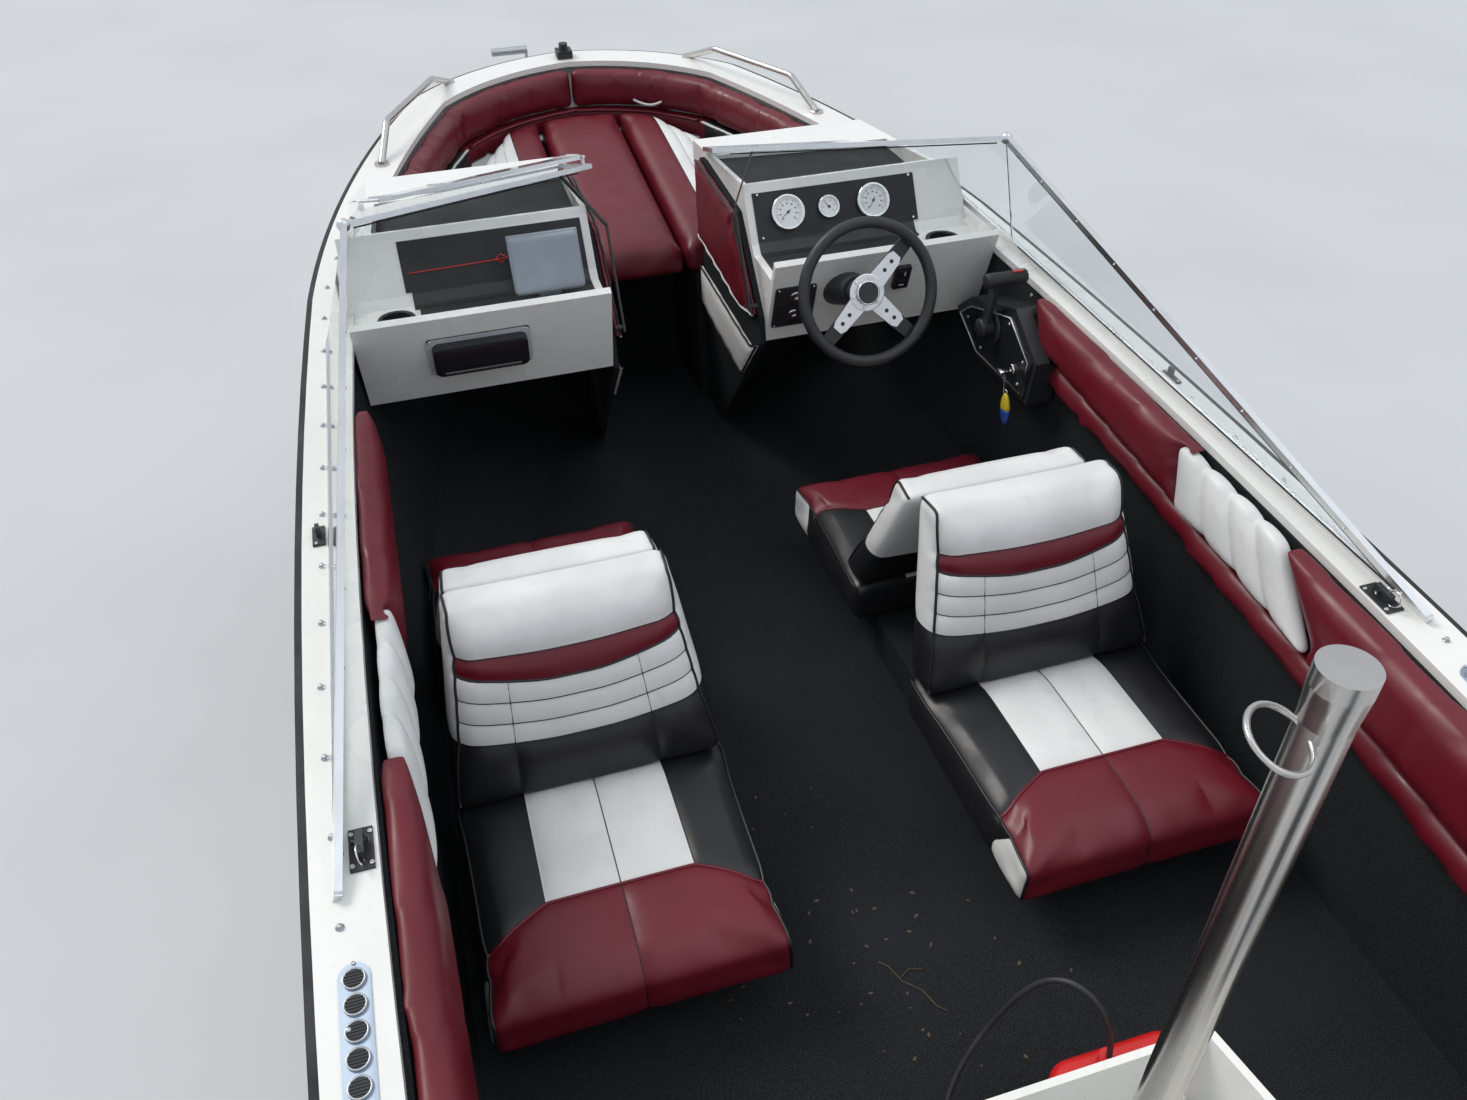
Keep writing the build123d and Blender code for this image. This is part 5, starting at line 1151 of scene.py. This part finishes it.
cover = put("display_cover", [soft_box((177, 29, 141), 11, (-352, 2700, 1560), -24),
                              soft_box((182, 11, 146), 5, (-352, 2708, 1563), -24),
                              soft_box((60, 40, 50), 6, (-352, 2715, 1496))],
            plastic("cover_grey", (0.235, 0.265, 0.30), 0.48, 0.12), "grey_cover", smooth=True)
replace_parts(cover, "display_unit")
wire = [(-693, 0.38, 4.2), (-640, 0.385, 4.2), (-580, 0.39, 4.2), (-520, 0.40, 4.2), (-462, 0.41, 4.2),
        (-440, 0.42, 14)]
put("panel_wire", [tube_mesh([slope.at(*spot) for spot in wire], 1.6, 8)] +
    [tube_mesh([slope.at(-470, 0.41, 4.2), slope.at(-455, share, 9), slope.at(-440, 0.42, 14)], 1.3, 8)
     for share in (0.34, 0.50)],
    paint("wire_red", (0.55, 0.01, 0.01), 0.4), "tank_red", smooth=True)

# Remote control on the helm's side.
# A black housing with a raised face, a side lever with a cross grip, and a key with a float in two colours.
BOX_FACE = [(2622, 1282), (2496, 1207), (2228, 1212), (2210, 1326), (2334, 1406), (2552, 1338)]
put("control_face", [plate([(-y, z) for y, z in BOX_FACE], 6, (781.5, 0, 0), (0, -1, 0), TO_HELM)],
    paint("control_black", (0.016, 0.017, 0.019), 0.3, 0.3), "black_trim")
PIVOT, LOCK = (2420, 1330), (2292, 1268)
put("control_rings", [turned([(46, 0), (46, 5), (42, 9), (30, 11), (30, 0)], (776, *PIVOT), TO_HELM, 36),
                      turned([(26, 0), (26, 6), (22, 10), (0.05, 11)], (742, *PIVOT), TO_HELM, 28)],
    black, "black_trim", smooth=True)
put("control_trim", [tube_mesh([(774, y, z) for y, z in (
    (2605, 1283), (2490, 1218), (2240, 1222), (2224, 1320), (2336, 1394), (2545, 1329), (2605, 1283))], 2.2, 6)],
    wheel_alloy, "aluminium", smooth=True)
heads = [screw((775, y, z), TO_HELM, 5)
         for y, z in ((2560, 1290), (2470, 1240), (2260, 1240), (2250, 1310), (2340, 1375))]
heads += [screw((lining_half(y, z) - 6.5, y, z), TO_HELM, 5.5) for y, z in ((2760, 1440), (2700, 1250), (2380, 1425))]
key = [turned([(15, 0), (15, 5), (12, 7), (6, 7), (6, 4), (0.05, 4)], (776, *LOCK), TO_HELM, 24),
       plate(rounded(22, 7, 3), 22, (757, *LOCK), (0, 1, 0), TO_HELM)]
put("control_screws", heads + key, chrome, "stainless", smooth=True)
put("lever_grip", [turned([(14, 0), (19, 3), (19.5, 20), (18, 60), (19.5, 98), (19, 112), (14, 117)],
                          (719, 2393, 1478), X_AXIS, 24)], soft_black, "black_trim", smooth=True)
put("lever_mark", [soft_box((30, 9, 5), 2, (808, 2387, 1497), 0, 3)], paint("red_mark", (0.45, 0.015, 0.012), 0.4),
    "tank_red", smooth=True)
KEY_X = 752


def key_float(low, high):
    """A part of a flattened oval: radius times the square root of one less the height squared."""
    steps = np.linspace(-0.999, 0.999, 17)
    profile = [(20 * np.sqrt(1 - s * s), 46 * s) for s in steps if low <= s <= high]
    points, faces = turned(profile, (0, 0, 0), (0, 0.15, 1), 20)
    return points * (0.5, 1, 1) + (KEY_X, 2262, 1168), faces


for name, part, material in (("key_float_top", (-0.02, 1), paint("float_yellow", (0.62, 0.47, 0.02), 0.5)),
                             ("key_float_foot", (-1, 0.02), paint("float_blue", (0.02, 0.07, 0.36), 0.5))):
    put(name, [key_float(*part)], material, "tank_red", smooth=True)
loop = [(KEY_X, 2272 + 9 * cos(t), 1213 + 9 * sin(t)) for t in np.linspace(0, 2 * pi, 18)[:-1]]
put("key_ring", [tube_mesh([(KEY_X, 2290 - 8 * s, 1262 - 52 * s) for s in np.linspace(0, 1, 8)], 1.6, 6),
                 tube_mesh(loop, 1.3, 6, True)], chrome, "stainless", smooth=True)

# Deck: louvred vent plates, hinge rings, screws and snap studs.
# Brushed plates with round dark louvres; stainless split rings in the canopy hinges; studs for the cover.
DECK_NORMAL = np.array([0, -0.066, 1]) / np.hypot(0.066, 1)
SHEER = (-80, 1450, 2850, 3500), (925, 975, 925, 800)


def on_deck(x, y, proud=0.0):
    """A place on the deck."""
    return x, y, deck_height(y) + proud


VENT_X, LOUVRE_PITCH, LOUVRE_RADIUS = 929.0, 37.5, 13.4
louvres, slats, rims = [], [], []
for x in (-VENT_X, VENT_X):
    for number in range(14):
        centre = on_deck(x, 950 - LOUVRE_PITCH * number, 5.0)
        louvres.append(turned([(13.6, 0), (13.6, 0.4), (0.05, 0.4)], centre, DECK_NORMAL, 24))
        rims.append(turned([(16.2, -4), (16.2, 0.5), (15.4, 1.6), (14.2, 1.6), (LOUVRE_RADIUS, 0.3)], centre,
                           DECK_NORMAL, 28))
        for offset in (-9, -4.5, 0, 4.5, 9):
            half = np.sqrt(LOUVRE_RADIUS ** 2 - offset ** 2)
            slats.append(plate(bar(-half, half, 0.9, offset), 1.0, centre, X_AXIS, DECK_NORMAL, 0.4))
put("louvre_holes", louvres, soft_black, "black_trim")
put("louvre_slats", slats, smoked, "black_trim")
put("louvre_rims", rims, steel, "stainless", smooth=True)
HINGE_Y, STUD = 1142, [(6.5, -1), (6.5, 0.8), (3.2, 1.4), (3.2, 3.6), (4.3, 5), (3.6, 6.4), (0.05, 6.8)]
studs, hoops = [], []
for side in (-1, 1):
    studs += [turned(STUD, on_deck(side * (np.interp(y, *SHEER) - 17), y), DECK_NORMAL, 14)
              for y in np.arange(260, 3360, 155)]
    for columns, rows, back, proud, radius in (((894, 922), (1127, 1183), 0, 4, 4.2), ((929,), (386, 978), 4, 2, 3.2),
                                               ((953,), (1875, 1919), 0, 5, 3.6)):
        for y in rows:
            studs += [screw((side * x, y - back, deck_height(y) + proud), DECK_NORMAL, radius) for x in columns]
    hinge = np.array(on_deck(side * 908, HINGE_Y, 19.0)) - (0, 10, 0)
    for twist in (0.0, 0.35):
        hoops.append(tube_mesh([hinge + 15 * np.array([side * 0.2 * sin(t), cos(t) * cos(twist), sin(t)])
                                for t in np.linspace(0, 2 * pi, 25)[:-1]], 1.4, 6, True))
    hoops.append(tube_mesh([on_deck(side * (895 + 26 * s), HINGE_Y + 18, 15) for s in (0, 0.5, 1)], 3.4, 10))
put("deck_studs", studs, steel, "stainless", smooth=True)
put("hinge_rings", hoops, chrome, "stainless", smooth=True)

# Windscreen trim.
# A black rubber gasket under each aluminium rail and small countersunk screws along the top bars.
CORNER, INNER = np.array([800.0, 2518, 1794]), np.array([180.0, 2985, 1686])
SIDE_POST, TIP = np.array([905.0, 2600, 1478]), np.array([945.0, 1084, 1378])
gaskets, bar_screws = [], []
for side in (-1, 1):
    mirror = np.array([side, 1, 1])
    for start, end, drop in ((CORNER, TIP, (-1, 0, -12)), (SIDE_POST, TIP, (-9, 0, 6)), (CORNER, INNER, (0, -3, -10))):
        run = np.array([start + (end - start) * s + np.array(drop) for s in np.linspace(0.03, 0.95, 14)])
        gaskets.append(tube_mesh(run * mirror, 1.8, 6))
    for end, shares, lift, axis, radius in (
            (INNER, np.linspace(0.06, 0.94, 6), (0, -6.4, 0), (0, -1, 0.1), 3.2),
            (TIP, np.linspace(0.12, 0.96, 9), (-6.4, 0, 0), (-side, 0, 0.2), 3.0)):
        bar_screws += [screw((CORNER + (end - CORNER) * share + np.array(lift)) * mirror, axis, radius)
                       for share in shares]
put("screen_gaskets", gaskets, rail_black, "rubber_rail", smooth=True)
put("screen_screws", bar_screws, chrome, "stainless", smooth=True)

# Bow strap.
# A white webbing pull sewn to the foot of the starboard bow bolster, hanging in a shallow arc.
bow_skins = [BVHTree.FromPolygons(pad.coordinates().tolist(), pad.faces.tolist()) for pad in pads
             if pad.node == "bow_bolsters"]
strap = []
for s in np.linspace(-1, 1, 11):
    x, z, slack = 258 + 46 * s, 1466.0, 1 - s * s
    hits = [skin.ray_cast(Vector(at_all(x, 3900, z)), Vector((0, 1, 0)))[0] for skin in bow_skins]
    reach = min(hit.y for hit in hits if hit is not None)
    strap.append((x, (reach + AFT) * 1000 - 3 - 20 * slack, z - 10 * slack))
put("bow_strap", [tube_mesh(strap, 4.5, 8)], white, "white_vinyl", smooth=True)

# Hull fittings.
# A stainless bow eye on the stem, two towing eyes on the transom, and a bronze drain plug low on its middle.
hull_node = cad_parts["hull"]
hull_skin = BVHTree.FromPolygons([hull_node.matrix_world @ v.co for v in hull_node.data.vertices],
                                 [list(p.vertices) for p in hull_node.data.polygons])


def on_hull(x, z, way):
    """The first place on the hull along Y from outside, in millimetres, and the outward normal there."""
    place, normal = hull_skin.ray_cast(Vector(at_all(x, 2200 - way * 3500, z)), Vector((0, way, 0)))[:2]
    out = np.array(normal)
    return np.array(place) * 1000 + np.array([0, AFT * 1000, 0]), -out if out[1] * way > 0 else out


eyes = []
for x, z, way in ((0, 1010, -1), (-610, 860, 1), (610, 860, 1)):
    foot, out = on_hull(x, z, way)
    along = np.cross(out, X_AXIS)
    arc = [foot + along * 26 * cos(t) + out * (20 + 20 * sin(t)) for t in np.linspace(0, pi, 9)]
    eyes.append(tube_mesh([foot + along * 26 - out * 6] + arc + [foot - along * 26 - out * 6], 5.0, 10))
    eyes += [turned([(13, -2), (13, 2), (10, 3), (0.05, 3)], foot + along * step, out, 20) for step in (-26, 26)]
put("hull_eyes", eyes, stainless, "stainless", smooth=True)
put("drain_plug", [turned([(21, -2), (21, 3), (12, 4), (12, 12), (0.05, 12)], *on_hull(0, 640, 1), 24)],
    metal("bronze", (0.33, 0.22, 0.10), 0.35, ALL_WAYS), "stainless")

# Motor trim.
# A rubber seal where the cover meets the lower casing, air slots high on the cover and its rear latch.
seal = [(x, y - 312.0, 1151.0) for x, y in rounded(334, 484, 82, 8)]
put("cowl_seal", [tube_mesh(seal, 5.0, 8, True)], rail_black, "rubber_rail", "motor", True)
slots = [plate(rounded(150, 6, 2.9, 4), 1.4, (side * 164.6, -300, 1265 + 16 * k), (0, 1, 0), (side, 0, 0))
         for side in (-1, 1) for k in range(5)]
put("cowl_slots", slots, soft_black, "motor_black", "motor")
put("cowl_latch", [soft_box((70, 12, 34), 5, (0, -557, 1190), 0, 5), soft_box((46, 5, 16), 2, (0, -561, 1190), 0, 5)],
    motor_grey, "motor_grey", "motor", True)

# Trailer wheels and lamps.
# Chromed wheel nuts and hub caps, tread grooves in the tyres, and red lamps with an amber end on the rear beam.
low, high = (np.array(v) * 1000 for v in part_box("right_tyre"))
axle_y, axle_z = (low[1] + high[1]) / 2 + AFT * 1000, (low[2] + high[2]) / 2
tyre_radius = (high[2] - low[2]) / 2
TYRE_X, NUT_X, CAP_X, NUT_CIRCLE, TREADS = 930, 968, 988, 84, 56
for side, body in ((1, "right_wheel"), (-1, "left_wheel")):
    outward, tyre = (side, 0, 0), np.array([side * TYRE_X, axle_y, axle_z])
    nuts = [turned([(32, 0), (32, 14), (28, 22), (0.05, 25)], (side * CAP_X, axle_y, axle_z), outward, 28)]
    for angle in np.radians(72 * np.arange(5) + 20):
        nuts.append(turned([(10.5, -4), (10.5, 10), (8, 13), (0.05, 13.5)], (
            side * NUT_X, axle_y + NUT_CIRCLE * cos(angle), axle_z + NUT_CIRCLE * sin(angle)), outward, 6))
    put(f"{body}_nuts", nuts, chrome, "stainless", body)
    inner, outer = tyre_radius - 3, tyre_radius + 0.5
    grooves = [turned([(inner, x - 2.2), (outer, x - 1.8), (outer, x + 1.8), (inner, x + 2.2)], tyre, outward, 64)
               for x in (-18, 0, 18)]
    for angle in 2 * pi * np.arange(TREADS) / TREADS:
        way = np.array([0, cos(angle), sin(angle)])
        grooves += [plate(bar(-11, 11, 2), 3.0, tyre + (x, 0, 0) + way * (tyre_radius - 4.4), X_AXIS, way)
                    for x in (-36, 36)]
    put(f"{body}_grooves", grooves, soft_black, "rubber_rail", body)
for name, size, radius, x, y, material, slot in (
        ("lamp_housings", (96, 26, 60), 5, 280, 242, black, "black_trim"),
        ("lamp_reds", (56, 14, 50), 4, 263, 228, paint("lens_red", (0.5, 0.008, 0.008), 0.15, 0.8), "tank_red"),
        ("lamp_ambers", (30, 14, 50), 4, 308, 228, paint("lens_amber", (0.75, 0.22, 0.01), 0.15, 0.8), "tank_red")):
    put(name, [soft_box(size, radius, (side * x, y, 322)) for side in (-1, 1)], material, slot, smooth=True)

# Dry leaf bits and a twig on the carpet.
# Small brown flakes trodden in, lying flat on the pile behind the seats.
rng = np.random.default_rng(7)
FLAKE = [(1.4, 0), (0.3, 0.7), (-1, 0.3), (-0.6, -0.5), (0.4, -0.6)]
flakes = []
for _ in range(46):
    x, y = rng.normal(-60, 150), rng.normal(1180, 260)
    size, turn = rng.uniform(2.0, 5.5), rng.uniform(0, 2 * pi)
    flakes.append(plate([(u * size, v * size) for u, v in FLAKE], 0.6, (x, y, FLOOR_HEIGHT + 0.3),
                        (cos(turn), sin(turn), 0), UPWARDS))
twig = [(-70 + 14 * k, 1090 - 22 * k + 9 * sin(2.1 * k), FLOOR_HEIGHT + 2) for k in range(7)]
flakes.append(tube_mesh(twig, 1.3, 5))
flakes.append(tube_mesh([(-42, 1046, 762), (-20, 1058, 762.5), (4, 1050, 762)], 0.9, 5))
put("floor_bits", flakes, Finish("dry_leaf", (0.075, 0.05, 0.03), 0.8).cloudy(1.6, 60).mat, "carpet")
